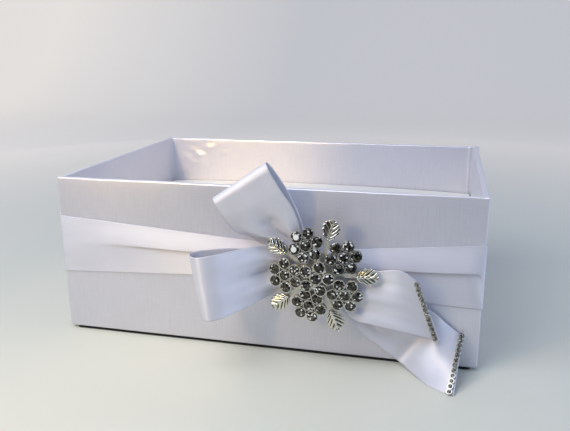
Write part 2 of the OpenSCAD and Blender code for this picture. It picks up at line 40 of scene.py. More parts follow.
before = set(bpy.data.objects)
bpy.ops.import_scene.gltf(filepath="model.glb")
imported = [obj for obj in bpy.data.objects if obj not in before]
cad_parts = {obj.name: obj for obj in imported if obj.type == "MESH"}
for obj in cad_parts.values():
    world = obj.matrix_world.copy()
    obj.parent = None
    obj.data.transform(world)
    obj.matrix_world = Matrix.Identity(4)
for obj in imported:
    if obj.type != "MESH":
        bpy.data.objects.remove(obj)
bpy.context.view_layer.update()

import bmesh
import bpy
from bpy.props import FloatProperty, FloatVectorProperty, IntProperty, PointerProperty
from mathutils import Matrix, Vector, noise

MM = 0.001
BODY = "box"

# Places that come from the solid model: the covered box, the knot and the back of the brooch
COVER_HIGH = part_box("fabric_cover")[1]
KNOT_LOW, KNOT_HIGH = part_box("bow_knot")
HALF_X, HALF_Y = COVER_HIGH.x, COVER_HIGH.y
KNOT = Vector(((KNOT_LOW.x + KNOT_HIGH.x) / 2, -HALF_Y, (KNOT_LOW.z + KNOT_HIGH.z) / 2))
KNOT_R = (KNOT_HIGH.x - KNOT_LOW.x) / 2
BROOCH_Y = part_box("brooch_glue")[0].y
FELT_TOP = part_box("base_felt")[1].z / MM


def linear(code):
    """An sRGB hex colour as the linear values that shaders take."""
    parts = [int(code[i : i + 2], 16) / 255 for i in (1, 3, 5)]
    return (*(c / 12.92 if c <= 0.04045 else ((c + 0.055) / 1.055) ** 2.4 for c in parts), 1.0)


def colour(name, description, code):
    """A colour for the sidebar, from its sRGB hex value."""
    return FloatVectorProperty(
        name=name, description=description, default=linear(code), size=4, min=0, max=1, subtype="COLOR"
    )


def length(name, description, default):
    """A length for the sidebar, in metres."""
    return FloatProperty(name=name, description=description, default=default, min=0, unit="LENGTH")


class CardBoxSizes(bpy.types.PropertyGroup):
    ribbon_width: length("Ribbon width", "Width of the satin ribbon", 38.1 * MM)
    ribbon_thickness: length("Ribbon thickness", "Thickness of the satin ribbon", 0.4 * MM)
    cloth_thickness: length("Cloth thickness", "Thickness of the cover cloth", 0.45 * MM)
    rim_wander: length("Rim wander", "How far the edge of the cloth wanders along the rim", 0.3 * MM)
    pleat_height: length("Pleat height", "Height of the pleats where the ribbon is gathered", 1.4 * MM)
    sash_fold: length("Sash fold", "Height of the fold along the sash", 2.1 * MM)
    stone_width: length("Stone width", "Width of a brooch stone", 6.2 * MM)
    leaf_length: length("Leaf length", "Length of a brooch leaf", 13 * MM)
    leaf_width: length("Leaf width", "Width of a brooch leaf", 11 * MM)
    pleat_count: IntProperty(name="Pleats", description="Pleats across a gathered ribbon", default=2, min=1)


class CardBoxColours(bpy.types.PropertyGroup):
    cover: colour("Cover", "Dupion of the cover", "#e1e0e7")
    satin: colour("Satin", "Satin of the sash and the bow", "#e8e7ee")
    silver: colour("Silver", "Plated metal of the brooch and the chains", "#e6e4da")
    tarnish: colour("Tarnish", "Darkened recesses of the plated metal", "#141310")
    stone_dark: colour("Stone, dark", "Dark facets of the rhinestones", "#060607")
    stone_smoke: colour("Stone, smoky", "Middle facets of the rhinestones", "#636050")
    # Pale colour of the facets painted as flashing glints
    stone_painted_flash: colour("Stone, pale", "Facets of the rhinestones that flash", "#f0f0ec")
    card: colour("Card", "Floor panel and its ledges", "#e4e3df")
    greyboard: colour("Greyboard", "Boards under the cloth", "#a59c8c")
    felt: colour("Felt", "Felt under the base", "#161618")
    glue: colour("Glue", "Glue behind the brooch", "#e6dfc8")
    table: colour("Table", "Table", "#e2e1d0")
    backdrop: colour("Backdrop", "Backdrop behind the table", "#fff6ea")
    sweep_light: colour("Sweep light", "Light in which the sweep shows", "#ffecca")


def sizes():
    """The sizes that the sidebar shows."""
    return bpy.context.scene.card_box_sizes


def colours():
    """The colours that the sidebar shows."""
    return bpy.context.scene.card_box_colours


# Nodes and materials


def node(tree, kind, sockets=None, **settings):
    """Adds a node: settings are its properties, sockets are values or links for its inputs."""
    made = tree.nodes.new(kind)
    for name, value in settings.items():
        setattr(made, name, value)
    for key, value in (sockets or {}).items():
        if isinstance(value, bpy.types.NodeSocket):
            tree.links.new(value, made.inputs[key])
        else:
            made.inputs[key].default_value = value
    return made


def material(paint):
    """The material that a function paints, named for it, painted once and then shared."""
    made = bpy.data.materials.get(paint.__name__)
    if made is None:
        made = bpy.data.materials.new(paint.__name__)
        made.use_nodes = True
        made.node_tree.nodes.clear()
        shader = paint(made.node_tree)
        node(made.node_tree, "ShaderNodeOutputMaterial", {"Surface": shader.outputs[0]})
    return made


def per_mm(*grains):
    """The scale that gives a pattern grains of these sizes in millimetres along its axes."""
    return [1 / (size * MM) for size in grains]


def shaded(colour_value, share):
    """The same colour with its brightness multiplied."""
    return (*(c * share for c in colour_value[:3]), 1.0)


# Most of a noise lies between these two values, which are stretched to the whole range
NOISE_MIDDLE = {"From Min": 0.35, "From Max": 0.65}
# Inputs of a mix of two colours, and its result
SHARE, FROM, TO, MIXED = 0, 6, 7, 2


def seen_rays(tree):
    """1 for the rays that show a thing, straight, in metal or through glass, and 0 for all others."""
    path = node(tree, "ShaderNodeLightPath").outputs
    seen = path["Is Camera Ray"]
    for kind in ("Is Glossy Ray", "Is Transmission Ray"):
        seen = node(tree, "ShaderNodeMath", {0: seen, 1: path[kind]}, operation="MAXIMUM").outputs[0]
    return seen


# Grains of the dupion in millimetres, round the box and up it, with their detail:
# slubs, weft and a broad cloudiness
DUPION_GRAINS = (((0.8, 16, 1), 3.0), ((9, 0.7, 1), 2.0), ((40, 30, 1), 2.0))
WEFT_SHARE = 0.5
CLOUD_SHARE = 0.4


def woven_dupion(tree):
    # Silk-look dupion, woven with slubbed threads: fine upright streaks and a soft sheen.
    # The real threads are 0.2 mm apart, too fine to show, so the streaks are drawn about 0.8 mm wide.
    tone = colours().cover
    uv = node(tree, "ShaderNodeTexCoord").outputs["UV"]
    patterns = []
    for grains, detail in DUPION_GRAINS:
        place = node(tree, "ShaderNodeMapping", {"Vector": uv, "Scale": per_mm(*grains)}).outputs[0]
        pattern = node(tree, "ShaderNodeTexNoise", {"Vector": place, "Scale": 1.0, "Detail": detail})
        patterns.append(pattern.outputs[0])
    slub, weft, cloud = patterns
    threads = node(
        tree, "ShaderNodeMath", {0: weft, 1: WEFT_SHARE, 2: slub}, operation="MULTIPLY_ADD"
    ).outputs[0]
    streaks = node(
        tree, "ShaderNodeMapRange", {"Value": threads, "From Min": 0.55, "From Max": 0.95}
    ).outputs[0]
    streaked = node(
        tree, "ShaderNodeMix", {SHARE: streaks, FROM: shaded(tone, 0.9), TO: tone}, data_type="RGBA"
    ).outputs[MIXED]
    drifts = node(tree, "ShaderNodeMapRange", {"Value": cloud, **NOISE_MIDDLE}).outputs[0]
    clouded = node(
        tree, "ShaderNodeMix", {SHARE: drifts, FROM: shaded(tone, 0.95), TO: tone}, data_type="RGBA"
    ).outputs[MIXED]
    woven = node(
        tree, "ShaderNodeMix", {SHARE: CLOUD_SHARE, FROM: streaked, TO: clouded}, data_type="RGBA"
    ).outputs[MIXED]
    # Along the rim line the cloth is painted at its full pale tone, without its darker streaks: a painted
    # highlight
    painted_rim_highlight = node(tree, "ShaderNodeAttribute", attribute_name="painted_rim_highlight").outputs["Fac"]
    base = node(tree, "ShaderNodeMix", {SHARE: painted_rim_highlight, FROM: woven, TO: tone}, data_type="RGBA").outputs[MIXED]
    rough = node(
        tree, "ShaderNodeMapRange", {"Value": slub, **NOISE_MIDDLE, "To Min": 0.34, "To Max": 0.42}
    ).outputs[0]
    relief = node(
        tree, "ShaderNodeBump", {"Height": threads, "Strength": 0.16, "Distance": 0.1 * MM}
    ).outputs[0]
    tangent = node(tree, "ShaderNodeTangent", direction_type="UV_MAP", uv_map="UVMap").outputs[0]
    return node(
        tree,
        "ShaderNodeBsdfPrincipled",
        {
            "Base Color": base,
            "Roughness": rough,
            "Metallic": 0.44,
            "Normal": relief,
            "Anisotropic": 0.2,
            "Anisotropic Rotation": 0.0,
            "Tangent": tangent,
        },
    )


# Grains of the satin in millimetres, along the ribbon and across it, with their detail:
# floats and a broad cloudiness
SATIN_GRAINS = (((22, 0.6, 1), 2.0), ((30, 12, 1), 1.0))
# The woven edge starts and is whole at these distances from the ribbon's edge, and stands up by a share
SELVEDGE_STARTS, SELVEDGE_WHOLE = 1.1 * MM, 0.7 * MM
SELVEDGE_RISE = 1.5


def satin(tree, shine, smoothest):
    """Satin ribbon whose floats shine across it by a share, with the roughness of its smoothest floats.

    The real floats are 0.1 mm apart, too fine to show, so they are drawn about 0.6 mm wide.
    """
    tone = colours().satin
    edge = sizes().ribbon_width / 2
    uv = node(tree, "ShaderNodeTexCoord").outputs["UV"]
    patterns = []
    for grains, detail in SATIN_GRAINS:
        place = node(tree, "ShaderNodeMapping", {"Vector": uv, "Scale": per_mm(*grains)}).outputs[0]
        pattern = node(tree, "ShaderNodeTexNoise", {"Vector": place, "Scale": 1.0, "Detail": detail})
        patterns.append(pattern.outputs[0])
    floats, cloud = patterns
    # The woven edge is a narrow, slightly raised band along both sides of the ribbon
    across = node(tree, "ShaderNodeSeparateXYZ", {0: uv}).outputs[1]
    from_middle = node(tree, "ShaderNodeMath", {0: across, 1: edge}, operation="SUBTRACT").outputs[0]
    side = node(tree, "ShaderNodeMath", {0: from_middle}, operation="ABSOLUTE").outputs[0]
    selvedge = node(
        tree,
        "ShaderNodeMapRange",
        {"Value": side, "From Min": edge - SELVEDGE_STARTS, "From Max": edge - SELVEDGE_WHOLE},
    ).outputs[0]
    drifts = node(tree, "ShaderNodeMapRange", {"Value": cloud, **NOISE_MIDDLE}).outputs[0]
    clouded = node(
        tree, "ShaderNodeMix", {SHARE: drifts, FROM: shaded(tone, 0.96), TO: tone}, data_type="RGBA"
    ).outputs[MIXED]
    base = node(
        tree, "ShaderNodeMix", {SHARE: selvedge, FROM: clouded, TO: shaded(tone, 0.93)}, data_type="RGBA"
    ).outputs[MIXED]
    rough = node(
        tree,
        "ShaderNodeMapRange",
        {"Value": floats, **NOISE_MIDDLE, "To Min": smoothest, "To Max": smoothest + 0.08},
    ).outputs[0]
    height = node(
        tree, "ShaderNodeMath", {0: selvedge, 1: SELVEDGE_RISE, 2: floats}, operation="MULTIPLY_ADD"
    ).outputs[0]
    relief = node(
        tree, "ShaderNodeBump", {"Height": height, "Strength": 0.12, "Distance": 0.05 * MM}
    ).outputs[0]
    tangent = node(tree, "ShaderNodeTangent", direction_type="UV_MAP", uv_map="UVMap").outputs[0]
    return node(
        tree,
        "ShaderNodeBsdfPrincipled",
        {
            "Base Color": base,
            "Roughness": rough,
            "Metallic": shine,
            "Normal": relief,
            "Anisotropic": 0.9,
            "Anisotropic Rotation": 0.25,
            "Tangent": tangent,
        },
    )


def woven_satin(tree):
    # Polyester satin ribbon, woven with long floats: a smooth broad highlight and a fine lengthwise grain.
    return satin(tree, shine=0.3, smoothest=0.52)


def drawn_satin(tree):
    # The sash is drawn tight, so that its floats throw back more of the lamp, in one broad patch.
    return satin(tree, shine=0.4, smoothest=0.58)


# Grain of the wear on plated metal, in millimetres
WEAR = 1.6


def silver(tree, blackened, reach_mm, smoothest=0.1, shine=1.0):
    """Silver plate, blackened by a share all over and wholly where nothing but itself is within reach."""
    tone = colours().silver
    spot = node(tree, "ShaderNodeTexCoord").outputs["Object"]
    place = node(tree, "ShaderNodeMapping", {"Vector": spot, "Scale": per_mm(WEAR, WEAR, WEAR)}).outputs[0]
    wear = node(tree, "ShaderNodeTexNoise", {"Vector": place, "Scale": 1.0, "Detail": 3.0}).outputs[0]
    hollow = node(tree, "ShaderNodeAttribute", attribute_name="recess").outputs["Fac"]
    open_sky = node(tree, "ShaderNodeAmbientOcclusion", {"Distance": reach_mm * MM}, samples=8).outputs["AO"]
    shut = node(
        tree,
        "ShaderNodeMapRange",
        {"Value": open_sky, "From Min": 0.2, "From Max": 0.75, "To Min": 1.0, "To Max": blackened},
    ).outputs[0]
    dark = node(tree, "ShaderNodeMath", {0: hollow, 1: shut}, operation="MAXIMUM").outputs[0]
    rubbed = node(tree, "ShaderNodeMapRange", {"Value": wear, **NOISE_MIDDLE}).outputs[0]
    bright = node(
        tree, "ShaderNodeMix", {SHARE: rubbed, FROM: shaded(tone, 0.85), TO: tone}, data_type="RGBA"
    ).outputs[MIXED]
    base = node(
        tree, "ShaderNodeMix", {SHARE: dark, FROM: bright, TO: colours().tarnish}, data_type="RGBA"
    ).outputs[MIXED]
    rough = node(
        tree,
        "ShaderNodeMapRange",
        {"Value": wear, **NOISE_MIDDLE, "To Min": smoothest, "To Max": smoothest + 0.15},
    ).outputs[0]
    relief = node(tree, "ShaderNodeBump", {"Height": wear, "Strength": 0.2, "Distance": 0.08 * MM}).outputs[0]
    return node(
        tree,
        "ShaderNodeBsdfPrincipled",
        {"Base Color": base, "Metallic": shine, "Roughness": rough, "Normal": relief},
    )


def plated_silver(tree):
    # Silver-plated casting: polished high spots over blackened recesses, as costume jewellery is finished.
    return silver(tree, blackened=0.0, reach_mm=0.9)


def toned_silver(tree):
    # The stone cups are toned down with plater's black, bright only where the rims are rubbed.
    return silver(tree, blackened=0.1, reach_mm=0.8, smoothest=0.12, shine=0.85)


def blackened_silver(tree):
    # The back frame keeps some of the plater's black, so that it drops back behind the stones.
    return silver(tree, blackened=0.1, reach_mm=1.0, smoothest=0.3, shine=0.7)


def bright_silver(tree):
    # The chain's cups are bright from the plating bath, with dark gaps between them.
    return silver(tree, blackened=0.3, reach_mm=1.1)


# Grain of the painted glints inside a stone, in millimetres, and their share in a facet's painted light
PAINTED_GLINT, PAINTED_GLINT_SHARE = 0.9, 0.2


def smoky_rhinestone(tree):
    # Foiled lead glass in a smoky grey, cut in facets: each facet has its own share of reflected light
    # painted into its colour.
    tone = node(tree, "ShaderNodeAttribute", attribute_name="tone").outputs["Fac"]
    spot = node(tree, "ShaderNodeTexCoord").outputs["Object"]
    place = node(tree, "ShaderNodeMapping", {"Vector": spot, "Scale": per_mm(PAINTED_GLINT, PAINTED_GLINT, PAINTED_GLINT)}).outputs[0]
    painted_glint = node(tree, "ShaderNodeTexNoise", {"Vector": place, "Scale": 1.0, "Detail": 1.0}).outputs[0]
    light = node(
        tree, "ShaderNodeMath", {0: painted_glint, 1: PAINTED_GLINT_SHARE, 2: tone}, operation="MULTIPLY_ADD"
    ).outputs[0]
    # From dark to smoky, and then to pale for the few facets painted as flashing glints
    base = colours().stone_dark
    for low, high, paler in ((0.2, 0.65, colours().stone_smoke), (0.75, 1.1, colours().stone_painted_flash)):
        lit = node(tree, "ShaderNodeMapRange", {"Value": light, "From Min": low, "From Max": high}).outputs[0]
        base = node(
            tree, "ShaderNodeMix", {SHARE: lit, FROM: base, TO: paler}, data_type="RGBA"
        ).outputs[MIXED]
    return node(
        tree,
        "ShaderNodeBsdfPrincipled",
        {"Base Color": base, "Roughness": 0.05, "IOR": 1.6, "Specular IOR Level": 0.3},
    )


def mottled(tree, tone, darkest, grains, detail, relief, depth_mm):
    """The colour, the relief and the mottle of a stuff that darkens to a share of its tone between grains."""
    spot = node(tree, "ShaderNodeTexCoord").outputs["Object"]
    place = node(tree, "ShaderNodeMapping", {"Vector": spot, "Scale": per_mm(*grains)}).outputs[0]
    mottle = node(tree, "ShaderNodeTexNoise", {"Vector": place, "Scale": 1.0, "Detail": detail}).outputs[0]
    pale = node(tree, "ShaderNodeMapRange", {"Value": mottle, **NOISE_MIDDLE}).outputs[0]
    base = node(tree, "ShaderNodeMix", {SHARE: pale, FROM: shaded(tone, darkest), TO: tone}, data_type="RGBA")
    raised = node(tree, "ShaderNodeBump", {"Height": mottle, "Strength": relief, "Distance": depth_mm * MM})
    return base.outputs[MIXED], raised.outputs[0], mottle


def white_card(tree):
    # Smooth white card: a faint cloudiness of the pulp and a matt surface.
    base, relief, pulp = mottled(
        tree, colours().card, darkest=0.95, grains=(6, 6, 6), detail=4.0, relief=0.1, depth_mm=0.05
    )
    rough = node(
        tree, "ShaderNodeMapRange", {"Value": pulp, **NOISE_MIDDLE, "To Min": 0.5, "To Max": 0.62}
    ).outputs[0]
    return node(
        tree, "ShaderNodeBsdfPrincipled", {"Base Color": base, "Roughness": rough, "Normal": relief}
    )


def grey_board(tree):
    # Recycled greyboard: flecks of fibre pressed flat, with no shine.
    base, relief, _ = mottled(
        tree, colours().greyboard, darkest=0.7, grains=(1.2, 1.2, 3), detail=4.0, relief=0.3, depth_mm=0.1
    )
    return node(
        tree, "ShaderNodeBsdfPrincipled", {"Base Color": base, "Roughness": 0.85, "Normal": relief}
    )


def pressed_felt(tree):
    # Black pressed felt: matted fibre that swallows light.
    # The real fibres are 0.02 mm thick, too fine to show, so they are drawn as tufts 0.7 mm wide.
    base, relief, _ = mottled(
        tree, colours().felt, darkest=0.6, grains=(0.7, 0.7, 0.7), detail=4.0, relief=0.6, depth_mm=0.2
    )
    return node(
        tree,
        "ShaderNodeBsdfPrincipled",
        {"Base Color": base, "Roughness": 0.95, "Normal": relief, "Sheen Weight": 0.2},
    )


def set_glue(tree):
    # Hot-melt glue, set hard: milky, with small ripples from the nozzle.
    base, relief, _ = mottled(
        tree, colours().glue, darkest=0.85, grains=(2, 2, 2), detail=2.0, relief=0.3, depth_mm=0.2
    )
    return node(
        tree,
        "ShaderNodeBsdfPrincipled",
        {"Base Color": base, "Roughness": 0.35, "Transmission Weight": 0.3, "Normal": relief},
    )


# Grain of the lacquer's haze, in millimetres, and the values that its noise lies between
HAZE = 160
HAZE_MIDDLE = {"From Min": 0.1, "From Max": 0.9}
# The sweep turns pale between these distances from the box, and its painted glow fades from the left
SWEEP_PALE = {"From Min": 0.25, "From Max": 0.85}
SWEEP_GLOW_FADE = {"From Min": -1.2, "From Max": -0.35}
SWEEP_GLOW_LEFT, SWEEP_GLOW = 0.56, 0.28


def lacquered_table(tree):
    # White lacquered board: nearly even, with a soft reflection of what stands on it.
    # It is paler and dull where it sweeps up.
    tone = colours().table
    spot = node(tree, "ShaderNodeTexCoord").outputs["Object"]
    place = node(tree, "ShaderNodeMapping", {"Vector": spot, "Scale": per_mm(HAZE, HAZE, HAZE)}).outputs[0]
    haze = node(tree, "ShaderNodeTexNoise", {"Vector": place, "Scale": 1.0, "Detail": 1.0}).outputs[0]
    hazed = node(tree, "ShaderNodeMapRange", {"Value": haze, **HAZE_MIDDLE}).outputs[0]
    near = node(
        tree, "ShaderNodeMix", {SHARE: hazed, FROM: shaded(tone, 0.97), TO: tone}, data_type="RGBA"
    ).outputs[MIXED]
    reach = node(tree, "ShaderNodeVectorMath", {0: spot}, operation="LENGTH").outputs["Value"]
    far = node(tree, "ShaderNodeMapRange", {"Value": reach, **SWEEP_PALE}).outputs[0]
    base = node(
        tree, "ShaderNodeMix", {SHARE: far, FROM: near, TO: colours().backdrop}, data_type="RGBA"
    ).outputs[MIXED]
    rough = node(
        tree, "ShaderNodeMapRange", {"Value": haze, **HAZE_MIDDLE, "To Min": 0.28, "To Max": 0.34}
    ).outputs[0]
    gloss = node(tree, "ShaderNodeMapRange", {"Value": far, "To Min": 0.4, "To Max": 0.0}).outputs[0]
    # The sweep glows with painted light for the rays that show it, most at the left, so it shows brighter
    # than it lights the box
    across = node(tree, "ShaderNodeSeparateXYZ", {0: spot}).outputs[0]
    lift = node(
        tree,
        "ShaderNodeMapRange",
        {"Value": across, **SWEEP_GLOW_FADE, "To Min": SWEEP_GLOW_LEFT, "To Max": SWEEP_GLOW},
    ).outputs[0]
    for share in (seen_rays(tree), far):
        lift = node(tree, "ShaderNodeMath", {0: share, 1: lift}, operation="MULTIPLY").outputs[0]
    return node(
        tree,
        "ShaderNodeBsdfPrincipled",
        {
            "Base Color": base,
            "Roughness": rough,
            "Specular IOR Level": gloss,
            "Emission Color": colours().sweep_light,
            "Emission Strength": lift,
        },
    )


# Pieces


def placed(bm, name, paint, smooth=True):
    """Turns a bmesh into an object of the scene, in its material."""
    mesh = bpy.data.meshes.new(name)
    bm.to_mesh(mesh)
    bm.free()
    mesh.materials.append(material(paint))
    if smooth:
        mesh.shade_smooth()
    thing = bpy.data.objects.new(name, mesh)
    bpy.context.scene.collection.objects.link(thing)
    return thing


def finished(bm, name, paint, slot, *replaced, smooth=True):
    """Turns a bmesh into a piece that rides on the box and stands for the named solids."""
    piece = placed(bm, name, paint, smooth)
    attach(piece, BODY)
    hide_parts(*replaced)
    return piece


def thickened(piece, thickness, offset):
    """Gives a sheet its thickness; offset -1 puts it behind the face, 0 on both sides."""
    solid = piece.modifiers.new("Thickness", "SOLIDIFY")
    solid.thickness = thickness
    solid.offset = offset
    return piece


def sheet_grid(columns, rows, place, uv_size):
    """A grid whose points are moved to place(i, j), with a UV map in metres from uv_size(i, j)."""
    bm = bmesh.new()
    uv = bm.loops.layers.uv.new("UVMap")
    bmesh.ops.create_grid(bm, x_segments=columns, y_segments=rows, size=0.5)
    index = {v: (round((v.co.x + 0.5) * columns), round((v.co.y + 0.5) * rows)) for v in bm.verts}
    for face in bm.faces:
        for loop in face.loops:
            loop[uv].uv = uv_size(*index[loop.vert])
    for vert, (i, j) in index.items():
        vert.co = place(i, j)
    return bm


def faced_out(bm):
    """Turns a sheet round where its foremost face looks into the box."""
    front = min(bm.faces, key=lambda f: f.calc_center_median().y)
    if front.normal.y > 0:
        bmesh.ops.reverse_faces(bm, faces=bm.faces)


def along(values, s):
    """A smooth curve through values, with s counting them."""
    last = len(values) - 1
    i = min(max(int(math.floor(s)), 0), last - 1)
    t = s - i
    a, b, c, d = (values[min(max(k, 0), last)] for k in (i - 1, i, i + 1, i + 2))
    return (2 * b + (c - a) * t + (2 * a - 5 * b + 4 * c - d) * t**2 + (3 * b - a - 3 * c + d) * t**3) / 2


def mix(a, b, t):
    """The value a share of the way from a to b."""
    return a + (b - a) * t


def smooth_step(low, high, x):
    """0 up to low and 1 from high on, with a soft rise between."""
    t = min(max((x - low) / (high - low), 0.0), 1.0)
    return t * t * (3 - 2 * t)


def bell(x, middle, width):
    """1 in the middle, falling smoothly to nothing past the width."""
    return math.exp(-(((x - middle) / width) ** 2))


# Round the box: a stop is a place on the plan with its outward direction


def plan_point(stop, inset, radius, z):
    """The place of a stop, in from the covered side, on corners of that radius."""
    along_x, along_y, out_x, out_y = stop
    return Vector(
        (
            along_x * (HALF_X - inset - radius) + out_x * radius,
            along_y * (HALF_Y - inset - radius) + out_y * radius,
            z,
        )
    )


def corner_stops(along_x, along_y, start, steps):
    """Stops round one corner, through a right angle from the start."""
    angles = [math.radians(start + 90 * i / steps) for i in range(steps + 1)]
    return [(along_x, along_y, math.cos(a), math.sin(a)) for a in angles]


FINE_STEP = 0.5 * MM
FINE_REACH = 8 * MM


def side_stops(first, last, out, span, step, fine):
    """Stops between two shares of a side, both left out, a step apart, and finer by its ends if asked."""
    run = abs(last - first) * span
    if fine:
        close = [i * FINE_STEP for i in range(1, int(FINE_REACH / FINE_STEP) + 1)]
        count = int((run - 2 * FINE_REACH) / step)
        middle = [mix(FINE_REACH, run - FINE_REACH, i / count) for i in range(1, count)]
        lengths = close + middle + [run - c for c in reversed(close)]
    else:
        count = max(int(run / step), 1)
        lengths = [run * i / count for i in range(1, count)]
    shares = [mix(first, last, c / run) for c in lengths]
    if out[0]:
        return [(out[0], f, *out) for f in shares]
    return [(f, out[1], *out) for f in shares]


CORNER_STEPS = 6
BACK, LEFT, FRONT, RIGHT = (0, 1), (-1, 0), (0, -1), (1, 0)


def round_from(start_share, start_side, step, fine=False):
    """Stops once round the box, anticlockwise from above, from a share of the front or the back."""
    corners = {
        BACK: corner_stops(-1, 1, 90, CORNER_STEPS),
        LEFT: corner_stops(-1, -1, 180, CORNER_STEPS),
        FRONT: corner_stops(1, -1, 270, CORNER_STEPS),
        RIGHT: corner_stops(1, 1, 0, CORNER_STEPS),
    }
    ends = {BACK: (1, -1), LEFT: (1, -1), FRONT: (-1, 1), RIGHT: (-1, 1)}
    spans = {BACK: HALF_X, LEFT: HALF_Y, FRONT: HALF_X, RIGHT: HALF_Y}
    order = [BACK, LEFT, FRONT, RIGHT]
    turn = order.index(start_side)
    order = order[turn:] + order[:turn]
    first, last = ends[start_side]
    start = (start_share, start_side[1], *start_side)
    stops = [start] + side_stops(start_share, last, start_side, spans[start_side], step, fine)
    stops += corners[start_side]
    for side in order[1:]:
        stops += side_stops(*ends[side], side, spans[side], step, fine) + corners[side]
    return stops + side_stops(first, start_share, start_side, spans[start_side], step, fine) + [start]


def distances(points):
    """Running length along a list of points."""
    run = [0.0]
    for a, b in zip(points, points[1:]):
        run.append(run[-1] + (b - a).length)
    return run


# Cover cloth, in millimetres, from its hem under the base, up the outside, over the rim and down the inside

# The hem and the lower edge as (inset, height above the felt, corner radius)
HEM = ((14, 0, 0.4), (9, 0, 0.4), (4, 0, 0.4), (1.3, 0, 0.6), (0.4, 0.12, 0.9), (0.08, 0.4, 1))
RIM_R = 0.9
WALL = 3.5
RIM_Z = 104
TURN_Z = 64.5
INNER_R = 0.4
TOP_R = 0.7
HEM_RISE = 0.6
OUTSIDE_STEPS = 30
RIM_STEPS = 5
INSIDE_STEPS = 22
ROUND_STEP = 3 * MM
WELD = 0.01 * MM


def cover_section():
    """The cloth's section as (inset, height, corner radius) in millimetres."""
    rows = [(inset, FELT_TOP + rise, radius) for inset, rise, radius in HEM]
    low = rows[-1][1] + HEM_RISE
    shoulder = RIM_Z - RIM_R
    rows += [(0, mix(low, shoulder, i / OUTSIDE_STEPS), 1) for i in range(OUTSIDE_STEPS)]
    arc = [math.pi / 2 * i / RIM_STEPS for i in range(RIM_STEPS + 1)]
    turns = [(RIM_R * (1 - math.cos(a)), shoulder + RIM_R * math.sin(a)) for a in arc]
    rows += [(inset, z, 1) for inset, z in turns]
    rows += [(WALL / 2, RIM_Z, TOP_R)]
    rows += [(WALL - inset, z, INNER_R) for inset, z in reversed(turns)]
    rows += [(WALL, mix(shoulder, TURN_Z, i / INSIDE_STEPS), INNER_R) for i in range(1, INSIDE_STEPS + 1)]
    return rows


# Small forms of the cloth, in millimetres: how far they lift it, and where and how far they spread
FACING = 0.2
OVER_RIM = (1.0, 2.5)
SLACK, SLACK_SPREAD = 0.12, 38
JOIN_LIFT = 0.12
JOIN_EDGE, JOIN_BACK, JOIN_UP = (4.6, 4.0), (-14, -8), (RIM_Z - 60, RIM_Z - 25)
RUCK_LIFT = 2.2
RUCK_X, RUCK_Z = (-104, 22), (92, 13)
# Waves of the rucks as (share, length along x, length along z, layer of the noise)
RUCK_WAVES = ((1.0, 9, 6, 3.0), (0.5, 4, 5, 7.0))
CORNER_PLEAT, CORNER_PLEAT_X = 0.6, (HALF_X / MM - 6.2, 0.8)
EAR_LIFT, EAR_RISE, EAR_SPREAD = 0.9, 1.4, 2.2
RIM_SPREAD, RIM_WAVE = 1.2, 14
# How far the painted highlight along the rim spreads up and down, in millimetres
RIM_HIGHLIGHT_SPREAD = 1.0


def cover_lift(p, stop, inset):
    """How far the cloth stands off its board there, in millimetres, and how far its rim rises."""
    x, y, z = (c / MM for c in p)
    inside = smooth_step(*OVER_RIM, inset)
    lift = SLACK * noise.noise(Vector((x, y, z)) / SLACK_SPREAD)
    # A doubled edge down the front, by the left corner, where the cloth is joined
    on_front, on_left, on_back = stop[3] < -FACING, stop[2] < -FACING, stop[3] > FACING
    if on_front or on_left:
        from_corner = x + HALF_X / MM if on_front else -(y + HALF_Y / MM)
        joined = smooth_step(*JOIN_EDGE, from_corner) * smooth_step(*JOIN_BACK, from_corner)
        lift += JOIN_LIFT * (1 - inside) * joined * smooth_step(*JOIN_UP, z)
    # Loose cloth in the upper left of the inside back wall, and a pleat in the right corner
    if on_back:
        ruck = sum(part * noise.noise(Vector((x / dx, z / dz, layer))) for part, dx, dz, layer in RUCK_WAVES)
        lift += RUCK_LIFT * inside * max(ruck, 0) * bell(x, *RUCK_X) * bell(z, *RUCK_Z)
        lift += CORNER_PLEAT * inside * bell(x, *CORNER_PLEAT_X)
    # Small ears where the cloth is folded over at the right-hand corners
    corner = ((z, RIM_Z), (x, HALF_X / MM), (abs(y), HALF_Y / MM))
    ear = math.prod(bell(c, middle, EAR_SPREAD) for c, middle in corner)
    rim = bell(z, RIM_Z, RIM_SPREAD)
    rise = rim * noise.noise(Vector((x, y, 5.0)) / RIM_WAVE) + EAR_RISE * ear
    return lift + EAR_LIFT * ear * (1 - inside), rise


